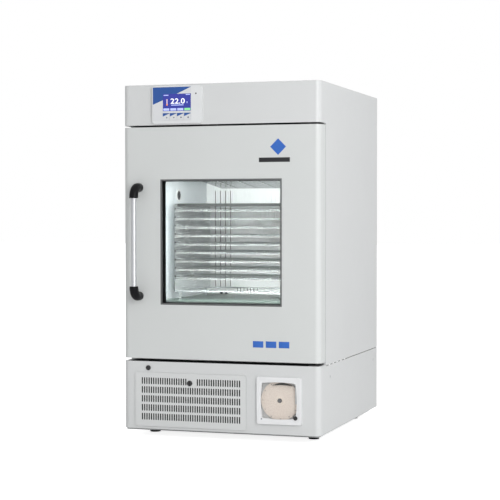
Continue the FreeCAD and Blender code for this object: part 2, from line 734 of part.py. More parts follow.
def recorder():
    well = ("well_left", "well_right"), ("well_low", "well_high")
    flange = panel("RecorderFlange", ("bezel_left", "bezel_right"), ("flange_front", "0"),
                   ("bezel_low", "bezel_high"), "5")
    case = box(("bezel_left + 4", "bezel_right - 4"), ("-0.5", "case_depth"),
               ("bezel_low + 5", "bezel_high - 5"))
    hollow = box(well[0], ("flange_front - 1", "well_floor"), well[1])
    spindle = rod("y", ("chart_x", "6", "chart_z"), "2.5", "20")
    pivot = rod("y", ("pen_x", "1", "pen_z"), "2", "20")
    finish(fuse(cut(fuse(flange, case), hollow), spindle, pivot), "recorder_housing")

    door = panel("RecorderDoor", ("bezel_left", "bezel_right"), ("door_face", "door_rear"),
                 ("bezel_low", "bezel_high"), "6")
    step = new_sketch(door, "XZ", "door_face")
    draw_rectangle(step, *well)
    pocket(door, step, "1.2")
    view = new_sketch(door, "XZ", "door_face - 1")
    draw_barrel(view)
    pocket(door, view, "10")
    rebate = new_sketch(door, "XZ", "door_rear - 1.8")
    draw_rectangle(rebate, ("well_left + 2", "well_right - 2"), ("well_low + 2", "well_high - 2"))
    pocket(door, rebate, "3")
    bore = new_sketch(door, "XZ", "door_face - 1")
    draw_circle(bore, "small_lock_x", "small_lock_z", "small_lock_radius - 2 + running_gap")
    pocket(door, bore, "10")
    barrel = rod("z", ("bezel_left - 0.7", "door_rear - barrel_radius", "bezel_low + 25"),
                 "barrel_radius", "bezel_high - bezel_low - 50")
    finish(fuse(door, barrel), "recorder_door")
    pane = box(("well_left + 2.2", "well_right - 2.2"), ("door_rear - 1.7", "door_rear - 0.2"),
               ("well_low + 2.2", "well_high - 2.2"))
    lock_corner = box(("small_lock_x - small_lock_radius", "well_right"),
                      ("door_rear - 2", "door_rear"),
                      ("well_low", "small_lock_z + small_lock_radius"))
    finish(cut(pane, lock_corner), "recorder_window")
    finish(lock_barrel("small_lock_x", "small_lock_z", "small_lock_radius",
                       "small_lock_radius - 2", ("door_face - 1.5", "door_face - 0.1"),
                       "door_rear + 0.4", "9"), "recorder_lock")
    disc = cut(
        fuse(rod("y", ("chart_x", "9", "chart_z"), "chart_radius", "0.8"),
             rod("y", ("chart_x", "5", "chart_z"), "8", "6")),
        rod("y", ("chart_x", "5.8", "chart_z"), "2.5 + running_gap", "10"),
    )
    finish(disc, "chart_disc")
    arm = cut(
        fuse(rod("y", ("pen_x", "2.5", "pen_z"), "6", "2"),
             box(("pen_x - 3", "pen_x + 3"), ("2.5", "4.5"), ("pen_z - 62", "pen_z"))),
        rod("y", ("pen_x", "0", "pen_z"), "2 + running_gap", "10"),
    )
    finish(arm, "pen_arm")


def draw_barrel(sketch):
    """A window whose four sides bulge outwards, as arcs of one radius."""
    left, right = value("view_left"), value("view_right")
    low, high = value("view_low"), value("view_high")
    bulge = value("view_bulge")
    corners = [FreeCAD.Vector(left, low, 0), FreeCAD.Vector(right, low, 0),
               FreeCAD.Vector(right, high, 0), FreeCAD.Vector(left, high, 0)]
    formulas = [("view_left", "view_low"), ("view_right", "view_low"),
                ("view_right", "view_high"), ("view_left", "view_high")]
    outward = [FreeCAD.Vector(0, -1, 0), FreeCAD.Vector(1, 0, 0), FreeCAD.Vector(0, 1, 0),
               FreeCAD.Vector(-1, 0, 0)]
    for number, (start, end) in enumerate(zip(corners, corners[1:] + corners[:1])):
        half = start.distanceToPoint(end) / 2
        rise = bulge - math.sqrt(bulge * bulge - half * half)
        middle = (start + end) * 0.5 + outward[number] * rise
        sketch.addGeometry(Part.Arc(start, middle, end))
        pin_point(sketch, number, 1, *formulas[number])
        row = sketch.addConstraint(Sketcher.Constraint("Radius", number, bulge))
        sketch.setExpression(f"Constraints[{row}]", formula("view_bulge"))
    for number in range(4):
        sketch.addConstraint(Sketcher.Constraint("Coincident", number, 2, (number + 1) % 4, 1))


# %% Machine base

def compressor():
    body = new_body("Compressor")
    sketch = new_sketch(body, "XZ", "0")
    draw_polygon(sketch, [("0", "0"), ("70", "0"), ("70", "6"), ("76", "14"), ("78", "100"),
                          ("62", "140"), ("30", "158"), ("0", "162")])
    spin(body, sketch, "Z")
    dome = doc.addObject("Part::Compound", "CompressorInPlace")
    dome.Links = [body]
    bind(dome, "Placement.Base.x", "compressor_x")
    bind(dome, "Placement.Base.y", "front_plane + compressor_y")
    bind(dome, "Placement.Base.z", "foot_height - tray_drop + 2")
    dome.Label = "compressor"
    sub_parts.append(dome)


def condenser():
    fins = [box((f"condenser_first + {step} * fin_pitch", f"condenser_first + {step} * fin_pitch + 1"),
                ("condenser_front", "condenser_rear"), ("condenser_low", "condenser_high"))
            for step in range(CONDENSER_FINS)]
    tubes = [rod("x", ("condenser_first - 8", "(condenser_front + condenser_rear) / 2", str(level)),
                 "5", f"{CONDENSER_FINS} * fin_pitch + 6") for level in range(30, 190, 30)]
    finish(fuse(*fins, *tubes), "condenser")


def condenser_fan():
    across = ("fan_x - 85", "fan_x + 85")
    frame = cut(
        box(across, ("fan_frame_front", "fan_frame_rear"), ("fan_z - 85", "fan_z + 85")),
        rod("y", ("fan_x", "fan_frame_front - 1", "fan_z"), "78", "40"),
    )
    strut = box(across, ("fan_frame_rear - 4", "fan_frame_rear"), ("fan_z - 5", "fan_z + 5"))
    motor = rod("y", ("fan_x", "fan_frame_rear - 12", "fan_z"), "20", "12")
    finish(fuse(frame, strut, motor), "condenser_fan_frame")
    finish(fan_wheel("fan_x", "fan_frame_front + 4", "fan_z", 72, 16), "condenser_fan")


def fan_wheel(x, y, z, reach, hub):
    """Pitched blades on a hub that turns about the y direction."""
    solids = [rod("y", (x, y, z), str(hub), "9")]
    pitch = FreeCAD.Rotation(FreeCAD.Vector(0, 0, 1), BLADE_PITCH)
    offset = pitch.multVec(FreeCAD.Vector(-BLADE_WIDTH / 2, -BLADE_THICK / 2, hub - 4))
    for step in range(FAN_BLADES):
        blade = doc.addObject("Part::Box", "Blade")
        blade.Length = BLADE_WIDTH
        blade.Width = BLADE_THICK
        blade.Height = reach - hub + 4
        turn = FreeCAD.Rotation(FreeCAD.Vector(0, 1, 0), 360 / FAN_BLADES * step)
        blade.Placement = FreeCAD.Placement(turn.multVec(offset), turn.multiply(pitch))
        seat = doc.addObject("Part::Compound", "BladeSeat")
        seat.Links = [blade]
        for name, text in (("x", x), ("y", f"{y} + 4.5"), ("z", z)):
            bind(seat, f"Placement.Base.{name}", text)
        solids.append(seat)
    return fuse(*solids)


def circulation_fan():
    wheel = fan_wheel("0", "586", "fan_level", 74, 18)
    bore = rod("y", ("0", "594", "fan_level"), "4 + running_gap", "20")
    finish(cut(wheel, bore), "circulation_fan")


def mains_entry():
    socket = cut(
        box(("inlet_left", "inlet_right"), ("depth - 30", "depth - 0.5"),
            ("inlet_low", "inlet_high")),
        box(("-256", "-228"), ("depth - 22", "depth + 1"), ("65", "85")),
        box(("-212", "-186"), ("depth - 22", "depth + 1"), ("64", "86")),
    )
    blades = [box((f"{x}", f"{x} + 2"), ("depth - 23", "depth - 6"), (f"{z}", f"{z} + 6"))
              for x, z in ((-251, 70), (-243, 76), (-235, 70))]
    finish(fuse(socket, *blades), "mains_inlet")
    rocker = fuse(
        box(("-209", "-189"), ("depth - 12", "depth - 4"), ("67", "83")),
        rod("x", ("-209", "depth - 10", "75"), "5", "20"),
    )
    finish(rocker, "mains_rocker")


# %% Agitator

def agitator_rails():
    rods = []
    for along in ("rod_front", "rod_back"):
        rods.append(rod("x", ("-244", along, "rod_level"), "rod_radius", "488"))
        for left, right in (("-246", "-238"), ("238", "246")):
            rods.append(box((left, right), (f"{along} - 8", f"{along} + 8"),
                            ("chamber_floor_level", "rod_level + 8")))
    finish(several(fuse(*rods[:3]), fuse(*rods[3:])), "agitator_rails")


def rack_side(outer_face, toward_middle):
    """A side panel with a rounded upper front corner and one ledge under each tray."""
    inner_face = f"{outer_face} + {toward_middle} * rack_sheet"
    body = new_body("RackSide")
    low_x = outer_face if toward_middle > 0 else inner_face
    sketch = new_sketch(body, "YZ", low_x)
    draw_rectangle(sketch, ("rack_front", "rack_rear"), ("rack_low", "rack_high"))
    sheet_pad = pad(body, sketch, "rack_sheet")
    front, top = value("rack_front"), value("rack_high")
    round_edges(body, sheet_pad, "rack_corner",
                lambda along, middle: abs(along.x) > 0.9 and abs(middle.y - front) < 0.1
                and abs(middle.z - top) < 0.1)
    ledges = []
    for number in range(TRAY_COUNT):
        level = f"tray_level + {number} * tray_pitch - 0.3"
        tip = f"{outer_face} + {toward_middle} * 9"
        span = (inner_face, tip) if toward_middle > 0 else (tip, inner_face)
        ledges.append(box(span, ("rack_front + 4", "rack_rear - 4"), (f"{level} - 1.5", level)))
    return fuse(body, *ledges)


def agitator_frame():
    inner = "rack_half - rack_sheet"
    sides = [rack_side("-rack_half", 1), rack_side("rack_half", -1)]
    top = box(around(inner), ("rack_front + rack_corner", "rack_rear"),
              ("rack_high - rack_sheet", "rack_high"))
    bars = [box(around(inner), (f"{along} - 14", f"{along} + 14"), ("rack_low", "rack_low + 3"))
            for along in ("rod_front", "rod_back")]
    yoke_outer = around("crank_pin + yoke_gap + 8")
    yoke = cut(
        box(yoke_outer, ("yoke_front", "yoke_rear"), ("crank_top + 2", "carriage_low")),
        box(around("crank_pin + yoke_gap"), ("yoke_front + 6", "yoke_rear - 9"),
            ("crank_top + 1", "carriage_low + 1")),
    )
    sheet_level = ("carriage_low", "carriage_low + 3")
    spines = [box(yoke_outer, ("rod_front + bearing_half", "yoke_front + 6"), sheet_level),
              box(yoke_outer, ("yoke_rear - 9", "rod_back - bearing_half"), sheet_level)]
    carriage = []
    for along in ("rod_front", "rod_back"):
        span = (f"{along} - bearing_half", f"{along} + bearing_half")
        carriage.append(box(around("leg_inner - 10"), span, sheet_level))
        for x in (("leg_inner - 10", "rack_half"), ("-rack_half", "10 - leg_inner")):
            block = box(x, span, ("carriage_low", "rod_level + bearing_half"))
            bore = rod("x", (f"{x[0]} - 1", along, "rod_level"), "rod_radius + running_gap",
                       f"{x[1]} - ({x[0]}) + 2")
            carriage.append(cut(block, bore))
        for x in (("leg_inner", "rack_half"), ("-rack_half", "-leg_inner")):
            carriage.append(box(x, (f"{along} - leg_half", f"{along} + leg_half"),
                                ("rod_level + bearing_half", "rack_low")))
    finish(several(*sides, top, *bars, yoke, *spines, *carriage), "agitator_frame")


def agitator_drive():
    motor = cut(
        fuse(rod("z", ("0", "crank_y", "chamber_floor_level"), "34", "52"),
             box(around("44"), ("crank_y - 44", "crank_y + 44"),
                 ("chamber_floor_level", "chamber_floor_level + 4"))),
        rod("z", ("0", "crank_y", "chamber_floor_level + 20"), "6 + running_gap", "40"),
    )
    finish(motor, "agitator_motor")
    crank = fuse(
        rod("z", ("0", "crank_y", "crank_top - 8"), "28", "8"),
        rod("z", ("0", "crank_y", "chamber_floor_level + 24"), "6",
            "crank_top - 6 - chamber_floor_level - 24"),
        rod("z", ("0", "crank_y + throw", "crank_top - 1"), "crank_pin", "10"),
    )
    finish(crank, "drive_crank")


def trays():
    for number in range(TRAY_COUNT):
        low = f"tray_level + {number} * tray_pitch"
        finish(tray(low), f"tray_{number + 1}")


def tray(low):
    """A perforated sheet with four low lips and two thumb notches in the front lip."""
    half = "tray_half_width"
    front, rear = "rack_front + 2", "rack_rear - 4"
    body = new_body("TraySheet")
    outline = new_sketch(body, "XY", low)
    draw_rectangle(outline, around(half), (front, rear))
    pad(body, outline, "tray_sheet")
    slots = new_sketch(body, "XY", f"{low} + tray_sheet")
    for number in range(SLOT_ROWS):
        start = f"slot_start + {number} * slot_step"
        draw_slot(slots, "slot_first", start, f"{start} + slot_length", "slot_radius")
    repeat(body, pocket(body, slots, "2 * tray_sheet"), "X", SLOT_COLUMNS, "slot_pitch")
    level = (f"{low} + tray_sheet", f"{low} + tray_lip")
    front_lip = box(around(half), (front, f"{front} + tray_sheet"), level)
    notches = [rod("y", (place, f"{front} - 1", f"{low} + tray_lip"), "5", "4")
               for place in ("-16", "91")]
    rear_lip = box(around(half), (f"{rear} - tray_sheet", rear), level)
    along = (f"{front} + tray_sheet", f"{rear} - tray_sheet")
    left_lip = box((f"-{half}", f"tray_sheet - {half}"), along, level)
    right_lip = box((f"{half} - tray_sheet", half), along, level)
    return several(body, cut(front_lip, *notches), rear_lip, left_lip, right_lip)


# %% Build everything and write one file per sub-part

cabinet_wrap()
top_cover()
back_panel()
base_wrap()
base_tray()
levelling_feet()
insulation()
chamber_liner()
air_duct_panel()
ceiling_plenum()
chamber_floor()
evaporator_coil()
cable_port()
chamber_lamp()
fan_motor()
door_skin()
door_liner()
window()
door_gasket()
hinge_brackets()
handle()
control_panel()
grille_flap()
locks()
recorder()
compressor()
condenser()
condenser_fan()
circulation_fan()
mains_entry()
agitator_rails()
agitator_frame()
agitator_drive()
trays()
doc.recompute()

for item in doc.Objects:
    if "Invalid" in item.State or "Error" in item.State:
        raise RuntimeError(f"{item.Label} ({item.Name}) did not recompute")

os.makedirs("parts", exist_ok=True)
for item in sub_parts:
    shape = item.Shape
    if shape.isNull() or not shape.isValid():
        raise RuntimeError(f"{item.Label} has no valid shape")
    shape.exportStep(os.path.join("parts", f"{item.Label}.step"))
print(len(sub_parts), "sub-parts written")
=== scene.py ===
# %% [markdown]
# # Platelet incubator
# A tall insulated cabinet with a windowed door, a rack of perforated trays that rocks from side to
# side, a display with four keys, a ventilated base and a paper chart recorder. The frame holds every
# engineered part in place. This file gives those parts their finishes and adds the small pieces that
# make the cabinet look like a working instrument.

# %% Load the frame
import math

import bmesh
import bpy
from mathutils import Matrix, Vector


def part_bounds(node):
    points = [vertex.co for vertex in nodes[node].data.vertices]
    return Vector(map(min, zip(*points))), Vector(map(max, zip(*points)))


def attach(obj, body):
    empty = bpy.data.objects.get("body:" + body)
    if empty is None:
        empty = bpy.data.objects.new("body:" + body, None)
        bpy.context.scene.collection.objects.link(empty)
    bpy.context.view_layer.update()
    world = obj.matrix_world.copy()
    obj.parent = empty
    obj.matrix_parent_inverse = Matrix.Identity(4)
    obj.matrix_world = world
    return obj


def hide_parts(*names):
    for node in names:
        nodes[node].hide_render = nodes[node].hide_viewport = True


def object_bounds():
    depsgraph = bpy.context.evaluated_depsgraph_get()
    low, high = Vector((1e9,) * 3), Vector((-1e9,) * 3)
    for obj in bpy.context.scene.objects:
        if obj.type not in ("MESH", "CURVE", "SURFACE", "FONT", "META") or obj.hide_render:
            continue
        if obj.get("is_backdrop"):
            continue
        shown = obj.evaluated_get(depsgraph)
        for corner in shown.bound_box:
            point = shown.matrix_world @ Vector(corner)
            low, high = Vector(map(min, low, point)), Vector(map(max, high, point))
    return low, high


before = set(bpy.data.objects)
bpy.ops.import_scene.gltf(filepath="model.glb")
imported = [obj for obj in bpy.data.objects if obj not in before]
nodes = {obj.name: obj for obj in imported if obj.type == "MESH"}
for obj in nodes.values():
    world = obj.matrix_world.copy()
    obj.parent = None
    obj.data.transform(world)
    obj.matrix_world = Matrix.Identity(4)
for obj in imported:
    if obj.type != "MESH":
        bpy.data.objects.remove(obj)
cad_low, cad_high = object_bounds()
MM = 0.001
print("nodes", len(nodes), "size", [round(v, 3) for v in cad_high - cad_low])

# %% [markdown]
# Every new piece is drawn in the cabinet's own coordinates, in millimetres: x from the centre line, d
# backwards from the door's face, h upwards from the lower edge of the base. Both offsets are read
# from the frame, so nothing has to be fitted afterwards.

# %% Cabinet coordinates
face_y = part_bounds("door_skin")[0].y
base_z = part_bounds("base_wrap")[0].z


def spot(x, d, h):
    return Vector((x * MM, face_y + d * MM, base_z + h * MM))


def part_box(node):
    """Lowest and highest corner of a frame node as (x, d, h) in millimetres."""
    shift = Vector((0, face_y, base_z))
    return [(corner - shift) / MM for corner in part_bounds(node)]


print("door face at", round(face_y, 4), "base edge at", round(base_z, 4))

# %% [markdown]
# A material is a small network of nodes. Writing such networks by hand is long, so one class wraps an
# output socket and lets ordinary arithmetic add the Math nodes. `mask * 0.2 + 0.5` then reads as it
# would on paper.

# %% Arithmetic on node sockets


class Wire:
    """An output socket that takes part in Python expressions."""

    def __init__(self, recipe, socket):
        self.recipe = recipe
        self.socket = socket

    def math(self, operation, *others):
        return self.recipe.node("ShaderNodeMath", {"operation": operation}, (self,) + others)

    def __add__(self, other):
        return self.math("ADD", other)

    def __radd__(self, other):
        return self.math("ADD", other)

    def __sub__(self, other):
        return self.math("SUBTRACT", other)

    def __rsub__(self, other):
        return self.recipe.node("ShaderNodeMath", {"operation": "SUBTRACT"}, (other, self))

    def __mul__(self, other):
        return self.math("MULTIPLY", other)

    def __rmul__(self, other):
        return self.math("MULTIPLY", other)

    def __truediv__(self, other):
        return self.math("DIVIDE", other)

    def __gt__(self, other):
        return self.math("GREATER_THAN", other)

    def __lt__(self, other):
        return self.math("LESS_THAN", other)


class Recipe:
    """One material under construction: its nodes are added through this object."""

    def __init__(self, name, colour, roughness, metallic=0.0, **constants):
        self.material = bpy.data.materials.new(name)
        self.material.use_nodes = True
        self.tree = self.material.node_tree
        self.shader = self.tree.nodes["Principled BSDF"]
        self.shader.inputs["Base Color"].default_value = (*colour, 1)
        self.shader.inputs["Roughness"].default_value = roughness
        self.shader.inputs["Metallic"].default_value = metallic
        for label, number in constants.items():
            self.shader.inputs[label.replace("_", " ")].default_value = number

    def node(self, kind, settings=None, values=(), output=0):
        made = self.tree.nodes.new(kind)
        for label, setting in (settings or {}).items():
            setattr(made, label, setting)
        pairs = values.items() if isinstance(values, dict) else enumerate(values)
        for key, number in pairs:
            if isinstance(number, Wire):
                self.tree.links.new(number.socket, made.inputs[key])
            else:
                made.inputs[key].default_value = number
        return Wire(self, made.outputs[output])

    def place(self):
        return self.node("ShaderNodeTexCoord", output="Object")

    def axes(self):
        """Object coordinates as x, d, h wires in millimetres, in the cabinet's coordinates."""
        split = self.node("ShaderNodeSeparateXYZ", values=(self.place(),))
        outputs = split.socket.node.outputs
        x, y, z = (Wire(self, outputs[i]) for i in range(3))
        return x / MM, (y - face_y) / MM, (z - base_z) / MM

    def noise(self, scale, detail=2.0, stretch=(1, 1, 1)):
        moved = self.node("ShaderNodeMapping", values={"Vector": self.place(), "Scale": stretch})
        return self.node("ShaderNodeTexNoise",
                         values={"Vector": moved, "Scale": scale, "Detail": detail})

    def smooth(self, value, low, high):
        return self.node("ShaderNodeMapRange", {"interpolation_type": "SMOOTHSTEP"},
                         {0: value, 1: low, 2: high, 3: 0.0, 4: 1.0})

    def blend(self, factor, first, second):
        first = (*first, 1) if isinstance(first, tuple) else first
        second = (*second, 1) if isinstance(second, tuple) else second
        return self.node("ShaderNodeMix", {"data_type": "RGBA"},
                         {0: factor, 6: first, 7: second}, output=2)

    def feed(self, label, wire):
        self.tree.links.new(wire.socket, self.shader.inputs[label])

    def bump(self, height, strength, distance):
        self.feed("Normal", self.node(
            "ShaderNodeBump", values={"Height": height, "Strength": strength,
                                      "Distance": distance}))


# %% [markdown]
# The cabinet is folded steel with a baked powder coat. Such paint is never perfectly flat: it has a
# fine orange peel about a millimetre across, and a very slight unevenness in its shade. A noise in
# the bump gives the peel, and a much larger noise shifts the colour and the gloss by a few percent.

# %% Painted metal


def powder_coat(name, colour, roughness=0.42, peel=0.12):
    paint = Recipe(name, colour, roughness, Coat_Weight=0.08, Coat_Roughness=0.25)
    cloud = paint.noise(5, 4)
    low = tuple(c * 0.97 for c in colour)
    high = tuple(min(c * 1.02, 1) for c in colour)
    paint.feed("Base Color", paint.blend(cloud, low, high))
    paint.feed("Roughness", paint.noise(60, 3) * 0.1 + (roughness - 0.05))
    paint.bump(paint.noise(900, 2), peel, 0.0002)
    return paint.material


cabinet_paint = powder_coat("cabinet_paint", (0.62, 0.63, 0.628))
door_paint = powder_coat("door_paint", (0.61, 0.627, 0.618))
tray_grey = powder_coat("tray_grey", (0.30, 0.31, 0.31), 0.5)
liner_paint = powder_coat("liner_white", (0.80, 0.83, 0.82), 0.22, 0.05)
dark_paint = powder_coat("dark_paint", (0.03, 0.03, 0.032), 0.5)
compressor_paint = powder_coat("compressor_black", (0.012, 0.012, 0.014), 0.25)
print("paints", cabinet_paint.name, door_paint.name, tray_grey.name)

# %% [markdown]
# The ventilated flap is the same powder coat, but the walls of its slots are painted dark as shade,
# since little light reaches them. This painted shade lies behind the front face, and only inside the
# field of slots, which four comparisons mark out.

# %% Flap paint
SLOTS_LEFT, SLOTS_RIGHT, SLOTS_LOW, SLOTS_HIGH = -264, 72, 27, 165
FLAP_FRONT, FLAP_SKIN = -3.3, 0.15


def slotted_paint():
    paint = Recipe("flap_paint", (0.63, 0.64, 0.636), 0.42, Coat_Weight=0.08, Coat_Roughness=0.25)
    x, d, h = paint.axes()
    field = (x > SLOTS_LEFT) * (x < SLOTS_RIGHT) * (h > SLOTS_LOW) * (h < SLOTS_HIGH)
    # Painted shade: the slot walls behind the front face are coloured near black.
    slot_wall_shade = field * (d > FLAP_FRONT + FLAP_SKIN)
    coat = paint.blend(paint.noise(5, 4), (0.611, 0.621, 0.617), (0.643, 0.653, 0.649))
    paint.feed("Base Color", paint.blend(slot_wall_shade, coat, (0.02, 0.02, 0.021)))
    paint.feed("Roughness", paint.noise(60, 3) * 0.1 + 0.37)
    paint.bump(paint.noise(900, 2), 0.12, 0.0002)
    return paint.material


flap_paint = slotted_paint()
print("slot field", SLOTS_RIGHT - SLOTS_LEFT, "x", SLOTS_HIGH - SLOTS_LOW)

# %% [markdown]
# Stainless sheet is rolled and brushed, so its scratches run one way and stretch the highlights
# across them. A noise that is drawn out along one axis makes those scratches. The liner and the duct
# have a pale satin coat on the same sheet, and the floor a green one, so they are less metallic.

# %% Bare and brushed metals


def brushed_metal(name, colour, roughness, stretch, scale=700, metallic=1.0):
    metal = Recipe(name, colour, roughness, metallic)
    lines = metal.noise(scale, 3, stretch)
    patches = metal.noise(9, 3)
    low = tuple(c * 0.86 for c in colour)
    metal.feed("Base Color", metal.blend(lines * 0.6 + patches * 0.4, low, colour))
    metal.feed("Roughness", lines * 0.16 + patches * 0.1 + (roughness - 0.12))
    metal.bump(lines, 0.12, 0.0001)
    return metal.material


stainless = brushed_metal("stainless", (0.80, 0.82, 0.82), 0.24, (0.02, 1, 1))
rack_steel = brushed_metal("rack_steel", (0.72, 0.75, 0.76), 0.24, (1, 0.02, 1), 500, 0.86)
plenum_steel = brushed_metal("plenum_steel", (0.20, 0.215, 0.225), 0.22, (1, 0.02, 1), 300, 0.75)
flange_shadow = brushed_metal("rail_shadow", (0.007, 0.008, 0.0078), 0.5, (0.02, 1, 1), 300, 0.0)
tray_steel = brushed_metal("tray_steel", (0.82, 0.84, 0.84), 0.20, (0.03, 1, 1), 500, 0.94)
liner_steel = brushed_metal("liner_steel", (0.76, 0.80, 0.825), 0.30, (1, 1, 0.03), 420, 0.25)
duct_steel = brushed_metal("duct_steel", (0.87, 0.885, 0.89), 0.28, (1, 1, 0.03), 420, 0.1)
floor_steel = brushed_metal("floor_steel", (0.17, 0.23, 0.205), 0.30, (0.03, 1, 1), 400, 0.35)
zinc = brushed_metal("zinc", (0.55, 0.56, 0.57), 0.38, (1, 1, 1), 300)
bar_aluminium = brushed_metal("bar_aluminium", (0.72, 0.73, 0.75), 0.48, (1, 1, 0.02), 900)
knob_metal = brushed_metal("knob_metal", (0.24, 0.24, 0.25), 0.3, (1, 1, 1), 300)
fin_aluminium = brushed_metal("fin_aluminium", (0.75, 0.76, 0.77), 0.4, (1, 1, 1), 200)
print("metals", stainless.name, tray_steel.name, duct_steel.name)

# %% [markdown]
# The handle ends, feet, fans and inlet are injection moulded. A spark-eroded mould leaves a fine even
# grain, which a noise of about a millimetre shows well as a bump. The rubber seals are duller, and
# reflect less, than the hard plastics.

# %% Plastics and rubber


def moulded_plastic(name, colour, roughness, grain=0.25, size=1400, gloss_coat=0.0, shine=0.5):
    plastic = Recipe(name, colour, roughness, Coat_Weight=gloss_coat, Coat_Roughness=0.1,
                     Specular_IOR_Level=shine)
    cloud = plastic.noise(14, 3)
    lift = tuple(min(c * 1.12 + 0.004, 1) for c in colour)
    plastic.feed("Base Color", plastic.blend(cloud, colour, lift))
    plastic.feed("Roughness", plastic.noise(90, 2) * 0.14 + (roughness - 0.07))
    plastic.bump(plastic.noise(size, 1), grain, 0.00015)
    return plastic.material


black_plastic = moulded_plastic("black_plastic", (0.005, 0.005, 0.006), 0.36, shine=0.12)
white_plastic = moulded_plastic("white_plastic", (0.66, 0.67, 0.675), 0.35, 0.08, 900, 0.1)
recorder_white = moulded_plastic("recorder_white", (0.72, 0.725, 0.73), 0.3, 0.06, 900, 0.15)
recorder_dark = moulded_plastic("recorder_dark", (0.02, 0.02, 0.02), 0.4)
seal_rubber = moulded_plastic("seal_rubber", (0.006, 0.007, 0.007), 0.62, 0.3, 800, shine=0.15)
gasket_rubber = moulded_plastic("gasket_rubber", (0.42, 0.43, 0.43), 0.6, 0.2, 800)
lock_black = moulded_plastic("lock_black", (0.012, 0.012, 0.013), 0.22, 0.05, 900, 0.4)
trim_grey = moulded_plastic("trim_grey", (0.10, 0.105, 0.105), 0.42, 0.1, 900)
mark_blue = moulded_plastic("mark_blue", (0.025, 0.12, 0.46), 0.35, 0.03, 900)
mark_black = moulded_plastic("mark_black", (0.012, 0.012, 0.014), 0.35, 0.03, 900)
icon_grey = moulded_plastic("icon_grey", (0.12, 0.14, 0.18), 0.5, 0.03, 900)
foam = moulded_plastic("foam", (0.75, 0.66, 0.38), 0.8, 0.6, 300)
print("plastics", black_plastic.name, recorder_white.name, seal_rubber.name)

# %% [markdown]
# Glass needs little: it is almost invisible except for its reflections and a trace of green from its
# edge. Mixing a clear surface with a glossy one by a Fresnel factor keeps the chamber behind it
# bright, which a full refractive glass would darken.

# %% Glass


def thin_glass(name, tint, reflection):
    glass = Recipe(name, tint, 0.02)
    tree = glass.tree
    clear = glass.node("ShaderNodeBsdfTransparent", values={"Color": (*tint, 1)})
    ripple = glass.noise(3, 1)
    shine = glass.node("ShaderNodeFresnel", values={"IOR": 1.5}) * reflection
    glass.feed("Roughness", ripple * 0.02 + 0.01)
    mixed = glass.node("ShaderNodeMixShader", values={0: shine, 1: clear,
                                                      2: Wire(glass, glass.shader.outputs[0])})
    tree.links.new(mixed.socket, tree.nodes["Material Output"].inputs["Surface"])
    return glass.material


window_glass = thin_glass("window_glass", (0.975, 0.985, 0.98), 0.4)
dial_window = thin_glass("dial_window", (0.985, 0.985, 0.98), 0.4)
print("glass finishes", window_glass.name, dial_window.name)

# %% [markdown]
# The membrane over the control panel is printed film: white with a blue field in its upper left,
# bounded by a line that rises towards the right and steepens a little. The boundary is one quadratic
# in the film's own width and height, so it is a formula in the material and not a picture.

# %% Printed film and keys
film_low = part_box("control_overlay")[0]
EDGE_START, EDGE_SLOPE, EDGE_CURVE = 51.1, 0.38, 0.00031
PRINT_BLUE = (0.02, 0.085, 0.32)
PRINT_WHITE = (0.66, 0.67, 0.685)


def printed_film():
    film = Recipe("overlay_film", PRINT_WHITE, 0.32)
    x, _, h = film.axes()
    along = x - film_low.x
    edge = EDGE_START + along * EDGE_SLOPE + along * along * EDGE_CURVE
    field = film.smooth(h - film_low.z - edge, -0.15, 0.15)
    film.feed("Base Color", film.blend(field, PRINT_WHITE, PRINT_BLUE))
    film.feed("Roughness", film.noise(200, 2) * 0.08 + 0.28)
    film.bump(film.noise(1200, 1), 0.05, 0.0001)
    return film.material


key_boxes = [part_box(f"key_{number}") for number in range(1, 5)]
key_pitch = key_boxes[1][0].x - key_boxes[0][0].x
key_size = key_boxes[0][1] - key_boxes[0][0]


def printed_keys():
    """White caps with a blue field along the top that is taller on the left."""
    cap = Recipe("key_plastic", PRINT_WHITE, 0.35)
    x, _, h = cap.axes()
    along = ((x - key_boxes[0][0].x) / key_pitch).math("FRACT") * (key_pitch / key_size.x)
    up = (h - key_boxes[0][0].z) / key_size.z
    corner = cap.smooth(up - along * 0.42 - 0.53, -0.02, 0.02)
    cap.feed("Base Color", cap.blend(corner, PRINT_WHITE, PRINT_BLUE))
    cap.feed("Roughness", cap.noise(200, 2) * 0.08 + 0.3)
    cap.bump(cap.noise(1200, 1), 0.06, 0.0001)
    return cap.material


overlay_film = printed_film()
key_print = printed_keys()
print("key", [round(size, 1) for size in key_size], "pitch", round(key_pitch, 1))

# %% [markdown]
# The display is a lit liquid crystal panel. It glows indigo, and a very fine grid of dark lines
# between its picture elements keeps it from looking like a painted rectangle.

# %% Display
GRID_LINE = 0.14


def glowing(name, colour, strength, pitch=0.5):
    screen = Recipe(name, tuple(c * 0.4 for c in colour), 0.18, Emission_Strength=strength)
    x, _, h = screen.axes()
    across = (x / pitch).math("FRACT") > GRID_LINE
    up = (h / pitch).math("FRACT") > GRID_LINE
    grid = across * up * 0.3 + 0.7
    dark = tuple(c * 0.5 for c in colour)
    screen.feed("Emission Color", screen.blend(grid, dark, colour))
    return screen.material


screen_indigo = glowing("screen_indigo", (0.035, 0.045, 0.33), 0.75)
screen_white = glowing("screen_white", (0.92, 0.94, 1.0), 1.0)
screen_orange = glowing("screen_orange", (0.95, 0.33, 0.10), 0.9)
screen_pink = glowing("screen_pink", (0.90, 0.66, 0.72), 0.9)
screen_pale = glowing("screen_pale", (0.45, 0.52, 0.90), 0.9)
screen_green = glowing("screen_green", (0.25, 0.72, 0.30), 0.9)
lamp_white = glowing("lamp_diffuser", (1.0, 1.0, 0.97), 3.0, 6.0)
print("screen finishes", screen_indigo.name, screen_white.name, lamp_white.name)

# %% [markdown]
# The recorder writes on a round paper chart printed with fine concentric circles and time arcs. Both
# come from the distance and the angle about the chart's centre, and their lines fade a little with a
# noise, as thin printing ink does.

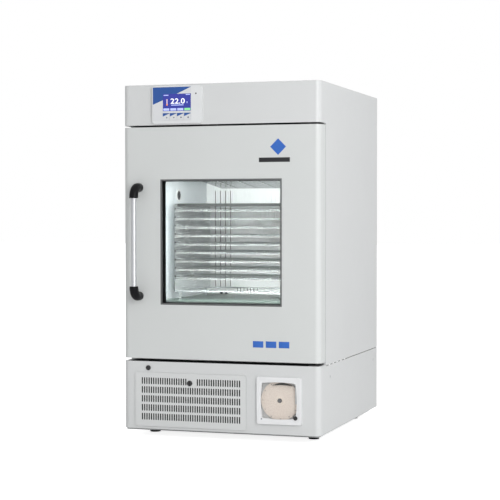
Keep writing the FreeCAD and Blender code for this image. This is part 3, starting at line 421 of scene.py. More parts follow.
# %% Chart paper
chart_low, chart_high = part_box("chart_disc")
chart_x = (chart_low.x + chart_high.x) / 2
chart_h = (chart_low.z + chart_high.z) / 2
chart_radius = (chart_high.x - chart_low.x) / 2
RING_PITCH, RING_SHARE, ARC_LEAN, ARC_WIDTH = 3.0, 0.10, 0.006, 1.1
PRINT_INSIDE, PRINT_MARGIN = 16, 4


def chart_print():
    paper = Recipe("chart_paper", (0.90, 0.81, 0.74), 0.85)
    x, _, h = paper.axes()
    right = x - chart_x
    up = h - chart_h
    reach = (right * right + up * up).math("SQRT")
    angle = paper.node("ShaderNodeMath", {"operation": "ARCTAN2"}, (up, right))
    ring = (reach / RING_PITCH).math("FRACT") < RING_SHARE
    hours = ((angle + reach * ARC_LEAN) * (24 / math.tau)).math("FRACT") * reach < ARC_WIDTH
    field = (reach > PRINT_INSIDE) * (reach < chart_radius - PRINT_MARGIN)
    printed = ring.math("MAXIMUM", hours) * field
    ink = printed * (paper.noise(200, 2) * 0.5 + 0.25)
    stock = paper.blend(paper.noise(40, 4), (0.88, 0.79, 0.72), (0.92, 0.83, 0.76))
    paper.feed("Base Color", paper.blend(ink, stock, (0.50, 0.34, 0.28)))
    paper.bump(paper.noise(500, 3), 0.1, 0.0001)
    return paper.material


chart_paper = chart_print()
print("chart radius", round(chart_radius, 1))

# %% [markdown]
# The cable port is one white moulding. Its bore is painted dark as shade, because little light reaches
# it. The distance from the bore's axis darkens the bore only.

# %% Cable port
PORT_D, PORT_H, PORT_RADIUS = 295, 745, 15


def port_plastic():
    port = Recipe("port_plastic", (0.7, 0.71, 0.71), 0.35)
    _, d, h = port.axes()
    away_d, away_h = d - PORT_D, h - PORT_H
    reach = (away_d * away_d + away_h * away_h).math("SQRT")
    # Painted shade: inside the bore the colour turns near black.
    bore_shade = reach < PORT_RADIUS + 0.6
    port.feed("Base Color", port.blend(bore_shade, (0.7, 0.71, 0.71), (0.03, 0.03, 0.035)))
    port.feed("Roughness", port.noise(90, 2) * 0.14 + 0.3)
    port.bump(port.noise(900, 1), 0.08, 0.00015)
    return port.material


cable_port_plastic = port_plastic()
print("port bore at", PORT_D, PORT_H)

# %% [markdown]
# Each node of the frame now gets its finish in place of the plain one that it came with. A slot is
# only reassigned: the meshes of the frame are never touched.

# %% Dress the frame
FINISHES = {
    "cabinet_wrap": cabinet_paint, "top_cover": cabinet_paint, "back_panel": cabinet_paint,
    "base_wrap": cabinet_paint, "base_tray": tray_grey, "levelling_feet": black_plastic,
    "insulation": foam, "chamber_liner": liner_steel, "air_duct_panel": duct_steel,
    "ceiling_plenum": plenum_steel, "chamber_floor": floor_steel,
    "evaporator_coil": fin_aluminium, "cable_port": cable_port_plastic,
    "chamber_lamp": lamp_white, "fan_motor": dark_paint, "door_skin": door_paint,
    "door_liner": liner_paint, "window_gasket": seal_rubber, "window_panes": window_glass,
    "door_gasket": gasket_rubber, "hinge_brackets": dark_paint, "handle_bar": bar_aluminium,
    "handle_ends": black_plastic, "control_bezel": white_plastic,
    "control_overlay": overlay_film, "display_module": screen_indigo,
    "grille_flap": flap_paint, "flap_lock": lock_black, "door_lock_housing": lock_black,
    "door_lock_plug": lock_black, "recorder_housing": recorder_white,
    "recorder_door": recorder_white, "recorder_window": dial_window,
    "recorder_lock": lock_black, "chart_disc": chart_paper, "pen_arm": fin_aluminium,
    "compressor": compressor_paint, "condenser": fin_aluminium,
    "condenser_fan_frame": black_plastic, "condenser_fan": black_plastic,
    "circulation_fan": black_plastic, "mains_inlet": black_plastic,
    "mains_rocker": black_plastic, "agitator_rails": stainless,
    "agitator_frame": rack_steel, "agitator_motor": dark_paint, "drive_crank": zinc,
}
for number in range(1, 5):
    FINISHES[f"key_{number}"] = key_print
for number in range(1, 10):
    FINISHES[f"tray_{number}"] = tray_steel
for name, finish in FINISHES.items():
    for slot in nodes[name].material_slots:
        slot.material = finish
print("finished nodes", len(FINISHES), "of", len(nodes))

# %% [markdown]
# New pieces start as a primitive at its real size, are shaped in edit mode, and end with their origin
# at the frame's origin and their place in the mesh. These helpers hold the steps that repeat:
# starting clean, choosing faces by where they are, and handing a finished piece to a body.

# %% Modelling helpers


def start_clean():
    if bpy.context.object and bpy.context.object.mode == "EDIT":
        bpy.ops.object.mode_set(mode="OBJECT")
    bpy.ops.object.select_all(action="DESELECT")


def settle(name):
    """Name the active piece and put its place into its mesh."""
    piece = bpy.context.object
    piece.name = name
    bpy.ops.object.transform_apply(location=True, rotation=True, scale=True)
    return piece


def block(name, low, high):
    """A rectangular start between two corners given as (x, d, h)."""
    start_clean()
    first, last = spot(*low), spot(*high)
    bpy.ops.mesh.primitive_cube_add(size=1, location=(first + last) / 2)
    bpy.context.object.scale = last - first
    return settle(name)


def drum(name, centre, radius, length, axis="d", vertices=32):
    """A cylinder start about a centre; its axis runs along x, d or h."""
    start_clean()
    turn = {"x": (0, math.pi / 2, 0), "d": (math.pi / 2, 0, 0), "h": (0, 0, 0)}[axis]
    bpy.ops.mesh.primitive_cylinder_add(vertices=vertices, radius=radius * MM,
                                        depth=length * MM, location=spot(*centre),
                                        rotation=turn)
    return settle(name)


def choose_faces(piece, wanted):
    """Enter edit mode with just the faces selected whose (centre, normal) the test accepts."""
    start_clean()
    piece.select_set(True)
    bpy.context.view_layer.objects.active = piece
    bpy.ops.object.mode_set(mode="EDIT")
    bpy.ops.mesh.select_mode(type="FACE")
    bpy.ops.mesh.select_all(action="DESELECT")
    mesh = bmesh.from_edit_mesh(piece.data)
    for face in mesh.faces:
        face.select = bool(wanted(face.calc_center_median(), face.normal))
    bmesh.update_edit_mesh(piece.data)


def push(vector):
    bpy.ops.mesh.extrude_region_move(TRANSFORM_OT_translate={"value": vector})


def leave_edit():
    bpy.ops.object.mode_set(mode="OBJECT")


def apply_modifier(piece, kind, **settings):
    start_clean()
    piece.select_set(True)
    bpy.context.view_layer.objects.active = piece
    modifier = piece.modifiers.new(kind.title(), kind)
    for label, number in settings.items():
        setattr(modifier, label, number)
    bpy.ops.object.modifier_apply(modifier=modifier.name)


def soften(piece, width, segments=2):
    apply_modifier(piece, "BEVEL", width=width * MM, segments=segments, limit_method="ANGLE",
                   angle_limit=math.radians(40))


def hand_over(piece, body, finish):
    """Give the piece its finish and let it move with a body of the frame."""
    start_clean()
    piece.select_set(True)
    bpy.context.view_layer.objects.active = piece
    bpy.ops.object.shade_smooth_by_angle(angle=math.radians(35))
    piece.data.materials.clear()
    piece.data.materials.append(finish)
    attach(piece, body)
    return piece


def plate(name, low, high, body, finish, round_by=0.15):
    piece = block(name, low, high)
    soften(piece, round_by)
    return hand_over(piece, body, finish)


def copy_to(piece, name, x=0, d=0, h=0):
    """A copy with its own mesh, moved by x, d and h millimetres."""
    start_clean()
    piece.select_set(True)
    bpy.context.view_layer.objects.active = piece
    bpy.ops.object.duplicate(linked=False)
    bpy.context.object.location = (x * MM, d * MM, h * MM)
    return settle(name)


# %% [markdown]
# The base panels are held by pan-head screws that sit in shallow recesses, two on each side. A screw
# is a short drum: its outer face is inset twice and pushed in for the socket, and a bevel rounds the
# rim of the head. The rear screw of each side is a copy of the front one.

# %% Case screws
SCREW_RADIUS, SCREW_THICK = 4.4, 0.9
SCREW_FRONT, SCREW_REAR, SCREW_LEVEL = 117, 696, 172.5


def side_screw(name, face, outward):
    head = drum(name, (face - outward * 0.5, SCREW_FRONT, SCREW_LEVEL), SCREW_RADIUS,
                SCREW_THICK, "x", 24)
    choose_faces(head, lambda middle, normal: normal.x * outward > 0.9)
    bpy.ops.mesh.inset(thickness=SCREW_RADIUS * 0.35 * MM)
    bpy.ops.mesh.inset(thickness=SCREW_RADIUS * 0.12 * MM)
    push((-outward * SCREW_THICK * 0.55 * MM, 0, 0))
    leave_edit()
    soften(head, 0.2)
    return head


wrap_low, wrap_high = part_box("base_wrap")
for side, face, outward in (("left", wrap_low.x, -1), ("right", wrap_high.x, 1)):
    front = side_screw(f"side_screw_{side}_1", face, outward)
    rear = copy_to(front, f"side_screw_{side}_2", d=SCREW_REAR - SCREW_FRONT)
    for head in (front, rear):
        hand_over(head, "cabinet", zinc)
print("side screws at", round(wrap_low.x), round(wrap_high.x))

# %% [markdown]
# Behind the slotted flap lies the washable filter of the condenser, a mat of black open foam. Its black
# is partly painted shade: it stands for the shade behind the slots and makes them look black. Its front
# is divided and each cell is inset and pushed in, which gives the mat its quilted surface.

# %% Air filter and painted shade
QUILT_CUTS, QUILT_RIM, QUILT_DEPTH = 9, 2.5, 1.5
# Partly painted shade: the mat's black stands for the shade behind the slots.
filter_and_shade_mat = block("air_filter_and_shade", (-276, 6, 19), (77, 13, 172))
choose_faces(filter_and_shade_mat, lambda middle, normal: normal.y < -0.9)
bpy.ops.mesh.subdivide(number_cuts=QUILT_CUTS)
bpy.ops.mesh.inset(thickness=QUILT_RIM * MM, use_individual=True, depth=-QUILT_DEPTH * MM)
leave_edit()
print("filter faces", len(filter_and_shade_mat.data.polygons))
hand_over(filter_and_shade_mat, "cabinet", seal_rubber)

# %% [markdown]
# The window opening is edged with a grey rubber moulding, and its sides are covered in black back to
# the seal. This black is painted shade: dark strips that stand for the shade on the jamb. Each is four
# strips that meet in the corners. A bevel of more than a millimetre rounds the moulding, because an
# extruded rubber profile has no sharp edge.

# %% Window jamb shade and moulding
pane_low, pane_high = part_box("window_panes")
REBATE = 10.0
hole_x = (pane_low.x + REBATE, pane_high.x - REBATE)
hole_h = (pane_low.z + REBATE, pane_high.z - REBATE)


def edging(name, depth, width, bevel, finish):
    """Four strips inside the opening, as wide as asked, between two depths."""
    x0, x1 = hole_x
    h0, h1 = hole_h
    spans = {"left": ((x0, x0 + width), (h0, h1)), "right": ((x1 - width, x1), (h0, h1)),
             "bottom": ((x0 + width, x1 - width), (h0, h0 + width)),
             "top": ((x0 + width, x1 - width), (h1 - width, h1))}
    for side, (x, h) in spans.items():
        strip = block(f"{name}_{side}", (x[0], depth[0], h[0]), (x[1], depth[1], h[1]))
        soften(strip, bevel)
        hand_over(strip, "door", finish)


edging("window_moulding", (-0.6, 5), 5.5, 1.2, trim_grey)
# The black lining is painted shade on the jamb.
edging("window_jamb_shade", (5.2, 23.9), 1, 0.2, black_plastic)
print("window opening", [round(v, 1) for v in hole_x + hole_h])

# %% [markdown]
# The trays are perforated sheet. A real punched pattern is hundreds of holes, and painting them would
# not let the light through. So one tray is modelled from a grid: each inner cell is inset on its own
# and its middle is deleted, the rim is extruded upwards into low lips, and the front lip is pierced in
# the same way and lowered at two thumb notches. A Solidify modifier gives the sheet its thickness.

# %% Perforated tray
tray_low, tray_high = part_box("tray_1")
COLUMNS, ROWS = 46, 30
TRAY_BASE, TRAY_THICK, HOLE_RIM, LIP_RIM = 1.0, 0.9, 2.1, 1.4
NOTCHES, NOTCH_REACH, NOTCH_DEPTH = (-16, 91), 5, 1.3
NEAR = 1e-5


def edit_mesh(piece, kind):
    """Enter edit mode with nothing selected, ready to select vertices or edges in code."""
    choose_faces(piece, lambda centre, normal: False)
    bpy.ops.mesh.select_mode(type=kind)
    return bmesh.from_edit_mesh(piece.data)


def perforated_tray():
    low, high = spot(*tray_low), spot(*tray_high)
    cell = (high.x - low.x) / COLUMNS
    start_clean()
    bpy.ops.mesh.primitive_grid_add(x_subdivisions=COLUMNS, y_subdivisions=ROWS, size=1,
                                    location=((low.x + high.x) / 2, (low.y + high.y) / 2,
                                              low.z + TRAY_BASE * MM))
    bpy.context.object.scale = (high.x - low.x, high.y - low.y, 1)
    tray = settle("perforated_tray_1")

    def from_rim(point):
        return min(point.x - low.x, high.x - point.x, point.y - low.y, high.y - point.y)

    choose_faces(tray, lambda centre, normal: from_rim(centre) > cell)
    bpy.ops.mesh.inset(thickness=HOLE_RIM * MM, use_individual=True)
    bpy.ops.mesh.delete(type="FACE")
    leave_edit()
    mesh = edit_mesh(tray, "EDGE")
    for edge in mesh.edges:
        edge.select = from_rim((edge.verts[0].co + edge.verts[1].co) / 2) < NEAR
    bmesh.update_edit_mesh(tray.data)
    push((0, 0, high.z - low.z - TRAY_BASE * MM))
    leave_edit()
    choose_faces(tray, lambda centre, normal: abs(normal.y) > 0.9 and centre.y < low.y + NEAR)
    bpy.ops.mesh.inset(thickness=LIP_RIM * MM, use_individual=True)
    bpy.ops.mesh.delete(type="FACE")
    leave_edit()
    mesh = edit_mesh(tray, "VERT")
    for vertex in mesh.verts:
        from_notch = min(abs(vertex.co.x / MM - place) for place in NOTCHES)
        on_top = vertex.co.y < low.y + NEAR and vertex.co.z > high.z - NEAR
        vertex.select = on_top and from_notch < NOTCH_REACH
    bmesh.update_edit_mesh(tray.data)
    bpy.ops.transform.translate(value=(0, 0, -NOTCH_DEPTH * MM))
    leave_edit()
    apply_modifier(tray, "SOLIDIFY", thickness=TRAY_THICK * MM, offset=0)
    return tray


trays = [perforated_tray()]
print("tray faces", len(trays[0].data.polygons))

# %% [markdown]
# The other eight trays are copies, each with its own mesh, at the levels that the frame gives. Every
# one takes the place of its plain node and slides with that node's body.

# %% All nine trays
for number in range(2, 10):
    rise = part_box(f"tray_{number}")[0].z - tray_low.z
    trays.append(copy_to(trays[0], f"perforated_tray_{number}", h=rise))
for number, tray in enumerate(trays, start=1):
    hand_over(tray, f"sliding_tray_{number}", tray_steel)
    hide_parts(f"tray_{number}")
print("trays", len(trays))

# %% [markdown]
# The rack is stiffened by a flange under its top plate and by a folded edge up each side. Every tray
# has a bent wire loop at each end of its lip to pull it by, and the rack a black rubber stop beside it.
# A loop is half of a torus: the other half is cut away with bisect, and the open ends are filled.

# %% Rack details
plate("rack_top_flange", (-199, 150.2, 706), (199, 151.6, 716.4), "agitator", flange_shadow,
      0.3)
for side, (left, right) in (("left", (-211, -208)), ("right", (208, 211))):
    plate(f"rack_edge_{side}", (left, 148.4, 432), (right, 149.9, 704), "agitator", stainless,
          0.4)
LOOP_D, LOOP_RADIUS, LOOP_WIRE, LOOP_X = 151.3, 8, 1.1, 192
STOP_X, STOP_D, STOP_RISE, STOP_SIZE = 206, 148.2, 4, 2.6
tray_top = tray_high.z


def pull_loop(name, x, level):
    start_clean()
    bpy.ops.mesh.primitive_torus_add(major_radius=LOOP_RADIUS * MM, minor_radius=LOOP_WIRE * MM,
                                     major_segments=20, minor_segments=8,
                                     location=spot(x, LOOP_D, level),
                                     rotation=(math.pi / 2, 0, 0))
    loop = settle(name)
    choose_faces(loop, lambda centre, normal: True)
    bpy.ops.mesh.bisect(plane_co=spot(x, LOOP_D, level), plane_no=(0, 0, 1), use_fill=True,
                        clear_inner=True)
    leave_edit()
    return loop


loops = {("left", 1): pull_loop("pull_loop_left_1", -LOOP_X, tray_top - 0.8)}
stops = {("left", 1): drum("rack_stop_left_1", (-STOP_X, STOP_D, tray_top + STOP_RISE),
                           STOP_SIZE, STOP_SIZE, "d", 16)}
soften(stops["left", 1], 0.5)
for number in range(1, 10):
    rise = part_box(f"tray_{number}")[0].z - tray_low.z
    for side, across in (("left", 0), ("right", 1)):
        if (side, number) not in loops:
            loops[side, number] = copy_to(loops["left", 1], f"pull_loop_{side}_{number}",
                                          x=2 * LOOP_X * across, h=rise)
            stops[side, number] = copy_to(stops["left", 1], f"rack_stop_{side}_{number}",
                                          x=2 * STOP_X * across, h=rise)
for (side, number), loop in loops.items():
    hand_over(loop, f"sliding_tray_{number}", tray_steel)
    hand_over(stops[side, number], "agitator", seal_rubber)
print("pull loops and stops", len(loops))

# %% [markdown]
# The baffle under the ceiling is stiffened by five narrow ribs, which run down its slope from the door
# to the duct. A rib is a cube at its real size, turned to the slope as it is added. Its long edges are
# bevelled, and the other ribs are copies a pitch further on.

# %% Baffle ribs
RIB_FIRST, RIB_PITCH, RIB_COUNT, RIB_WIDTH, RIB_LENGTH, RIB_THICK = -133, 70.5, 5, 3, 415, 1.2
BAFFLE_DROP, BAFFLE_RUN = 43, 421
slope = math.atan2(BAFFLE_DROP, BAFFLE_RUN)
start_clean()
bpy.ops.mesh.primitive_cube_add(size=1, location=spot(RIB_FIRST, 360, 792.6),
                                rotation=(-slope, 0, 0))
bpy.context.object.scale = (RIB_WIDTH * MM, RIB_LENGTH * MM, RIB_THICK * MM)
ribs = [settle("plenum_rib_1")]
soften(ribs[0], 0.4)
for number in range(1, RIB_COUNT):
    ribs.append(copy_to(ribs[0], f"plenum_rib_{number + 1}", x=RIB_PITCH * number))
for rib in ribs:
    hand_over(rib, "cabinet", stainless)
print("baffle slope", round(math.degrees(slope), 1), "degrees")

# %% [markdown]
# The space under the false floor holds the agitator's drive. A sheet skirt closes its front, so that
# nothing falls in while the door is open. It is a plain folded sheet, so a block with softened edges
# is all it needs.

# %% Drive skirt
skirt = plate("drive_skirt", (-249, 68, 290.6), (249, 69.5, 400.3), "cabinet", duct_steel,
              0.4)
print("skirt", [round(size, 3) for size in skirt.dimensions])

# %% [markdown]
# Black strips line the gaps above and below the door, one under the hood and one on top of the base.
# They are painted shade: dark sheets that stand for the shade in these gaps. They stop short of the
# hinge leaves, and their edges are rounded, as cut rubber's are.

# %% Shade strips in the door gaps
# Painted shade: black strips in the gaps above and below the door.
for name, low_h, high_h in (("base_gap_shade", 214.5, 215.6), ("hood_gap_shade", 961.3, 962.4)):
    strip = plate(name, (-304, 3, low_h), (284, 62, high_h), "cabinet", seal_rubber,
                  0.3)
    print(name, [round(size, 4) for size in strip.dimensions])

# %% [markdown]
# The opening of the circulation fan has a guard, a round plate with many small holes in the colour of
# the duct. It is made like the trays: the cells outside the circle are deleted first, and the plain
# rim stays a few cells wide.

# %% Fan guard
GUARD_RADIUS, GUARD_CELLS, GUARD_RIM, GUARD_HOLE_RIM, GUARD_THICK = 90, 30, 10, 1.9, 1
start_clean()
guard_centre = spot(0, 569.8, 620)
bpy.ops.mesh.primitive_grid_add(x_subdivisions=GUARD_CELLS, y_subdivisions=GUARD_CELLS, size=1,
                                location=guard_centre, rotation=(math.pi / 2, 0, 0))
bpy.context.object.scale = (2 * GUARD_RADIUS * MM, 2 * GUARD_RADIUS * MM, 1)
guard = settle("fan_guard")
choose_faces(guard, lambda centre, normal:
             (centre - guard_centre).length > (GUARD_RADIUS - 3) * MM)
bpy.ops.mesh.delete(type="FACE")
leave_edit()
choose_faces(guard, lambda centre, normal:
             (centre - guard_centre).length < (GUARD_RADIUS - GUARD_RIM) * MM)
bpy.ops.mesh.inset(thickness=GUARD_HOLE_RIM * MM, use_individual=True)
bpy.ops.mesh.delete(type="FACE")
leave_edit()
apply_modifier(guard, "SOLIDIFY", thickness=GUARD_THICK * MM, offset=0)
hand_over(guard, "cabinet", duct_steel)
print("guard faces", len(guard.data.polygons))

# %% [markdown]
# Behind the duct's slits hang two black sheets, painted shade that makes the slits look dark, and two
# rubber bumpers stand on the floor behind the rack. A sheet is a plate with softened edges, and a
# bumper a drum with a well rounded rim.

# %% Shade sheets and bumpers
# Painted shade: black sheets behind the slits.
for name, low, high in (("slit_shade_sheet", (-222, 573.4, 424), (-152, 574.6, 769)),
                        ("vent_shade_sheet", (-142, 573.4, 409), (-54, 574.6, 429))):
    plate(name, low, high, "cabinet", seal_rubber, 0.4)
BUMPER_X, BUMPER_PITCH = -186, 18
first_bumper = drum("bumper_1", (BUMPER_X, 548, 408), 5, 11, "h", 24)
soften(first_bumper, 1.5, 3)
for bumper in (first_bumper, copy_to(first_bumper, "bumper_2", x=BUMPER_PITCH)):
    hand_over(bumper, "cabinet", seal_rubber)
print("bumpers", BUMPER_X, BUMPER_X + BUMPER_PITCH)

# %% [markdown]
# The display shows a temperature of 22.0 in large digits, a small thermometer, a few status marks
# and four soft-key fields along its lower edge. The digits are a text object that is made a mesh, and
# widened a little. Everything stands about a tenth of a millimetre in front of the glass.

# %% Screen contents
screen_low, screen_high = part_box("display_module")
screen_width = screen_high.x - screen_low.x
screen_height = screen_high.z - screen_low.z
glass_d = screen_low.y


def on_screen(across, down):
    """A point of the screen from its upper left corner, both as shares of its size."""
    return screen_low.x + across * screen_width, screen_high.z - down * screen_height


def screen_field(name, left, right, top, bottom, finish):
    x0, h1 = on_screen(left, top)
    x1, h0 = on_screen(right, bottom)
    piece = block(name, (x0, glass_d - 0.12, h0), (x1, glass_d - 0.02, h1))
    apply_modifier(piece, "BEVEL", width=0.04 * MM, segments=1)
    return hand_over(piece, "cabinet", finish)


def lettering(name, text, size, x, d, h, finish, body, thick=0.06, align="LEFT",
              stretch=1.0):
    """Generic digits as a mesh that stands upright and faces the front."""
    start_clean()
    bpy.ops.object.text_add(location=(0, 0, 0))
    words = bpy.context.object
    words.data.body = text
    words.data.size = size * MM
    words.data.extrude = thick / 2 * MM
    words.data.align_x = align
    words.data.offset = size * 0.012 * MM
    words.data.resolution_u = 4
    bpy.ops.object.convert(target="MESH")
    words = bpy.context.object
    words.rotation_euler = (math.pi / 2, 0, 0)
    words.scale = (stretch, 1, 1)
    words.location = spot(x, d, h)
    piece = settle(name)
    return hand_over(piece, body, finish)


digit_x, digit_h = on_screen(0.27, 0.57)
lettering("screen_digits", "22.0", 23, digit_x, glass_d - 0.1, digit_h, screen_white, "cabinet",
          stretch=1.24)
screen_field("screen_status", 0.30, 0.74, 0.63, 0.68, screen_pale)
screen_field("screen_unit", 0.85, 0.88, 0.46, 0.55, screen_pale)
screen_field("screen_header_left", 0.03, 0.20, 0.05, 0.10, screen_pale)
screen_field("screen_header_right", 0.82, 0.97, 0.03, 0.08, screen_pale)
for number, left in enumerate((0.02, 0.27, 0.52)):
    screen_field(f"screen_label_{number + 1}", left, left + 0.21, 0.84, 0.97, screen_pale)
screen_field("screen_label_4", 0.77, 0.98, 0.84, 0.97, screen_green)
screen_field("thermometer_stem", 0.135, 0.165, 0.31, 0.58, screen_pink)
bulb_x, bulb_h = on_screen(0.15, 0.63)
bulb = drum("thermometer_bulb", (bulb_x, glass_d - 0.07, bulb_h), 2.6, 0.1, "d", 24)
soften(bulb, 0.03, 1)
hand_over(bulb, "cabinet", screen_orange)
print("screen", round(screen_width, 1), "x", round(screen_height, 1))

# %% [markdown]
# Each key carries a small grey symbol in its lower right, and the panel has a dark light sensor to
# the right of the screen. The first two symbols are triangles and the others squares, each with a
# sunken middle.

# %% Key symbols and sensor
SYMBOL_RIGHT, SYMBOL_DOWN, SYMBOL_RADIUS = 2.5, 3, 3.2
for number, (low, high) in enumerate(key_boxes, start=1):
    middle_x = (low.x + high.x) / 2 + SYMBOL_RIGHT
    middle_h = (low.z + high.z) / 2 - SYMBOL_DOWN
    start_clean()
    bpy.ops.mesh.primitive_cylinder_add(vertices=3 + (number > 2), radius=SYMBOL_RADIUS * MM,
                                        depth=0.12 * MM, location=spot(middle_x, low.y, middle_h),
                                        rotation=(math.pi / 2, math.radians(90 * number), 0))
    symbol = settle(f"key_symbol_{number}")
    choose_faces(symbol, lambda middle, normal: normal.y < -0.9)
    bpy.ops.mesh.inset(thickness=0.8 * MM)
    push((0, 0.04 * MM, 0))
    leave_edit()
    hand_over(symbol, f"panel_key_{number}", icon_grey)
panel_front = part_box("control_bezel")[0].y
sensor = drum("panel_sensor", (-76, panel_front, 1059), 2.4, 0.6, "d", 24)
soften(sensor, 0.15)
hand_over(sensor, "cabinet", black_plastic)
print("panel front at", round(panel_front, 1))

# %% [markdown]
# The door carries plain marks that name nobody: a blue diamond over a dark bar above the window, and
# three blue stripes below it. They are thin printed pads, and the diamond has a sunken middle.

# %% Generic marks
MARK_THICK, DIAMOND_SIDE = 0.3, 36
start_clean()
bpy.ops.mesh.primitive_cube_add(size=1, location=spot(190, -MARK_THICK / 2, 889))
bpy.context.object.scale = (DIAMOND_SIDE * MM, MARK_THICK * MM, DIAMOND_SIDE * MM)
bpy.context.object.rotation_euler = (0, math.pi / 4, 0)
diamond = settle("door_mark_diamond")
choose_faces(diamond, lambda middle, normal: normal.y < -0.9)
bpy.ops.mesh.inset(thickness=10 * MM)
push((0, 0.2 * MM, 0))
leave_edit()
hand_over(diamond, "door", mark_blue)
plate("door_mark_bar", (128, -MARK_THICK, 842), (228, 0, 856), "door", mark_black)
for number, (left, right) in enumerate(((108, 142), (150, 184), (192, 226)), start=1):
    plate(f"door_stripe_{number}", (left, -MARK_THICK, 268), (right, 0, 288), "door", mark_blue)
print("marks", MARK_THICK, "mm proud")

# %% [markdown]
# The chart is held by a small knurled knob: a drum whose rim faces are inset one by one, which makes
# the knurls.

# %% Chart knob
knob = drum("chart_knob", (chart_x, 3.6, chart_h), 7, 3, "d", 36)
choose_faces(knob, lambda middle, normal: abs(normal.y) < 0.1)
bpy.ops.mesh.inset(thickness=0.25 * MM, use_individual=True, depth=-0.25 * MM)
leave_edit()
choose_faces(knob, lambda middle, normal: normal.y < -0.9)
bpy.ops.mesh.inset(thickness=1.5 * MM)
push((0, -0.5 * MM, 0))
leave_edit()
hand_over(knob, "chart", knob_metal)
print("knob at", round(chart_x), round(chart_h))

# %% [markdown]
# A dark crescent arches over the top of the paper, widest in the middle. It starts as a flat strip,
# whose points are moved onto the two curves of the crescent, and a Solidify modifier gives it its
# thickness.

# %% Dark crescent
CRESCENT_START, CRESCENT_LENGTH, CRESCENT_D, CRESCENT_THICK = -23, 66, 1.2, 1.2
CRESCENT_LEVEL, CRESCENT_RISE, END_WIDTH, SWELL_WIDTH = 47, 5.5, 0.8, 6


def pen_lifter():
    start_clean()
    bpy.ops.mesh.primitive_grid_add(x_subdivisions=24, y_subdivisions=1, size=1,
                                    location=(0, 0, 0))
    strip = settle("pen_lifter")
    for vertex in strip.data.vertices:
        share = vertex.co.x + 0.5
        swell = math.sin(math.pi * share)
        width = END_WIDTH + SWELL_WIDTH * swell
        rise = CRESCENT_LEVEL + CRESCENT_RISE * swell + vertex.co.y * width
        vertex.co = spot(chart_x + CRESCENT_START + CRESCENT_LENGTH * share, CRESCENT_D, chart_h + rise)
    apply_modifier(strip, "SOLIDIFY", thickness=CRESCENT_THICK * MM, offset=0)
    return hand_over(strip, "cabinet", recorder_dark)


crescent_piece = pen_lifter()
print("crescent_piece", [round(size, 4) for size in crescent_piece.dimensions])

# %% [markdown]
# Twelve hour numerals stand round the edge of the chart, and the recorder's frame has a small round
# mark in its lower left corner. The numerals are text that is made a mesh, at equal angles.

# %% Chart numerals and recorder mark
HOURS, NUMERAL_REACH, NUMERAL_SIZE = 12, 57, 4.5
for number in range(HOURS):
    angle = math.tau * number / HOURS
    lettering(f"chart_hour_{number + 1}", str(2 * number or 24), NUMERAL_SIZE,
              chart_x + NUMERAL_REACH * math.cos(angle), chart_low.y + 3.92,
              chart_h + NUMERAL_REACH * math.sin(angle) - 1.6,
              icon_grey, "chart", 0.04, "CENTER")
frame_mark = drum("recorder_mark", (138, -6.85, 48), 2, 0.1, "d", 20)
soften(frame_mark, 0.03, 1)
hand_over(frame_mark, "recorder_lid", icon_grey)
print("numerals", HOURS)

# %% [markdown]
# Screws run down both edges of the rear panel. They aren't seen from the front, but the cabinet is
# looked at from all sides. One head is modelled, with a sunken middle, and seven are copies of it.

# %% Rear screws
REAR_X, REAR_LEVELS, REAR_D, REAR_THICK = 310, (40, 380, 730, 1070), 753.6, 0.8
first_head = drum("rear_screw_1", (-REAR_X, REAR_D, REAR_LEVELS[0]), SCREW_RADIUS, REAR_THICK,
                  "d", 24)
choose_faces(first_head, lambda middle, normal: normal.y > 0.9)
bpy.ops.mesh.inset(thickness=1.6 * MM)
push((0, -0.4 * MM, 0))
leave_edit()
heads = [first_head]
for across in (0, 2 * REAR_X):
    for level in REAR_LEVELS:
        if across or level != REAR_LEVELS[0]:
            heads.append(copy_to(first_head, f"rear_screw_{len(heads) + 1}", x=across,
                                 h=level - REAR_LEVELS[0]))
for head in heads:
    hand_over(head, "cabinet", zinc)
print("rear screws", len(heads))

# %% [markdown]
# The cabinet stands on a plain pale floor against white. The floor glows white to the camera alone, so
# that it doesn't light the cabinet from below. A camera almost five metres away, to the right and with
# a long lens, keeps the uprights nearly parallel.

# %% Floor and camera
start_clean()
bpy.ops.mesh.primitive_plane_add(size=60, location=(0, 0, cad_low.z - 0.0005))
floor = bpy.context.object
floor.name = "studio_floor"
ground = Recipe("studio_floor", (0.8, 0.8, 0.8), 0.8, Emission_Strength=0.85)
ground.feed("Roughness", ground.noise(2, 2) * 0.1 + 0.75)
seen = ground.node("ShaderNodeLightPath")
ground.feed("Emission Color", ground.blend(seen, (0.0, 0.0, 0.0), (1.0, 1.0, 1.0)))
floor.data.materials.append(ground.material)
floor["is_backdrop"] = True

camera_data = bpy.data.cameras.new("camera")
camera_data.lens = 105.957
camera_data.sensor_width = 36
camera_data.clip_end = 100
camera = bpy.data.objects.new("camera", camera_data)
bpy.context.collection.objects.link(camera)
camera.location = (1.5173, -4.6813, 0.7042)
camera.rotation_euler = (math.radians(90 - 1.342), math.radians(0.048), math.radians(18.12))
bpy.context.scene.camera = camera
print("camera lens", round(camera_data.lens, 1))

# %% [markdown]
# Soft studio light. The surround is white to the camera, but lights the cabinet more weakly and more
# from the right than from the left. A large panel on the right gives the bright line on the rounded
# edge. Inside, a lamp under the ceiling and a soft panel just behind the window fill the chamber. That
# panel shows in no reflection, or every bright sheet would mirror it.

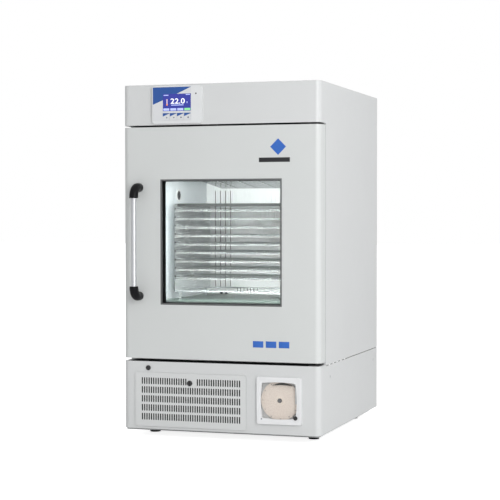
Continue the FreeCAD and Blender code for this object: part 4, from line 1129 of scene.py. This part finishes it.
# %% Light
scene = bpy.context.scene
scene.view_settings.view_transform = "Standard"
world = bpy.data.worlds.new("studio")
scene.world = world
world.use_nodes = True
sky = world.node_tree
direction = sky.nodes.new("ShaderNodeTexCoord")
split = sky.nodes.new("ShaderNodeSeparateXYZ")
ramp = sky.nodes.new("ShaderNodeMapRange")
LEFT_STRENGTH, RIGHT_STRENGTH = 0.54, 0.98
ramp.inputs["From Min"].default_value = -1
ramp.inputs["To Min"].default_value = LEFT_STRENGTH
ramp.inputs["To Max"].default_value = RIGHT_STRENGTH
sky.links.new(direction.outputs["Generated"], split.inputs[0])
sky.links.new(split.outputs["X"], ramp.inputs["Value"])
sky.nodes["Background"].inputs["Color"].default_value = (0.985, 0.99, 1, 1)
sky.links.new(ramp.outputs[0], sky.nodes["Background"].inputs["Strength"])
backdrop = sky.nodes.new("ShaderNodeBackground")
backdrop.inputs["Color"].default_value = (1, 1, 1, 1)
backdrop.inputs["Strength"].default_value = 1.0
path = sky.nodes.new("ShaderNodeLightPath")
chooser = sky.nodes.new("ShaderNodeMixShader")
sky.links.new(path.outputs["Is Camera Ray"], chooser.inputs[0])
sky.links.new(sky.nodes["Background"].outputs[0], chooser.inputs[1])
sky.links.new(backdrop.outputs[0], chooser.inputs[2])
sky.links.new(chooser.outputs[0], sky.nodes["World Output"].inputs["Surface"])


def softbox(name, location, target, size, power):
    light = bpy.data.lights.new(name, "AREA")
    light.shape = "RECTANGLE"
    light.size, light.size_y = size
    light.energy = power
    lamp = bpy.data.objects.new(name, light)
    bpy.context.collection.objects.link(lamp)
    lamp.location = location
    aim = Vector(target) - Vector(location)
    lamp.rotation_euler = aim.to_track_quat("-Z", "Y").to_euler()
    return lamp


softbox("key_panel", (2.6, -3.0, 1.5), (0.2, -0.3, 0.6), (1.2, 2.4), 66)
softbox("chamber_light", spot(0, 120, 868), spot(0, 300, 480), (0.38, 0.04), 0.14)
fill = softbox("window_fill", spot(0, 70, 590), spot(0, 571, 590), (0.40, 0.39), 8)
fill.data.spread = math.radians(120)
fill.visible_glossy = False

# %% [markdown]
# The box of the whole scene, without the floor, is measured last, as the frame's was at the start.
# The visual model has to stay inside the box of the frame.

# %% Measure the finished scene
low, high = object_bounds()
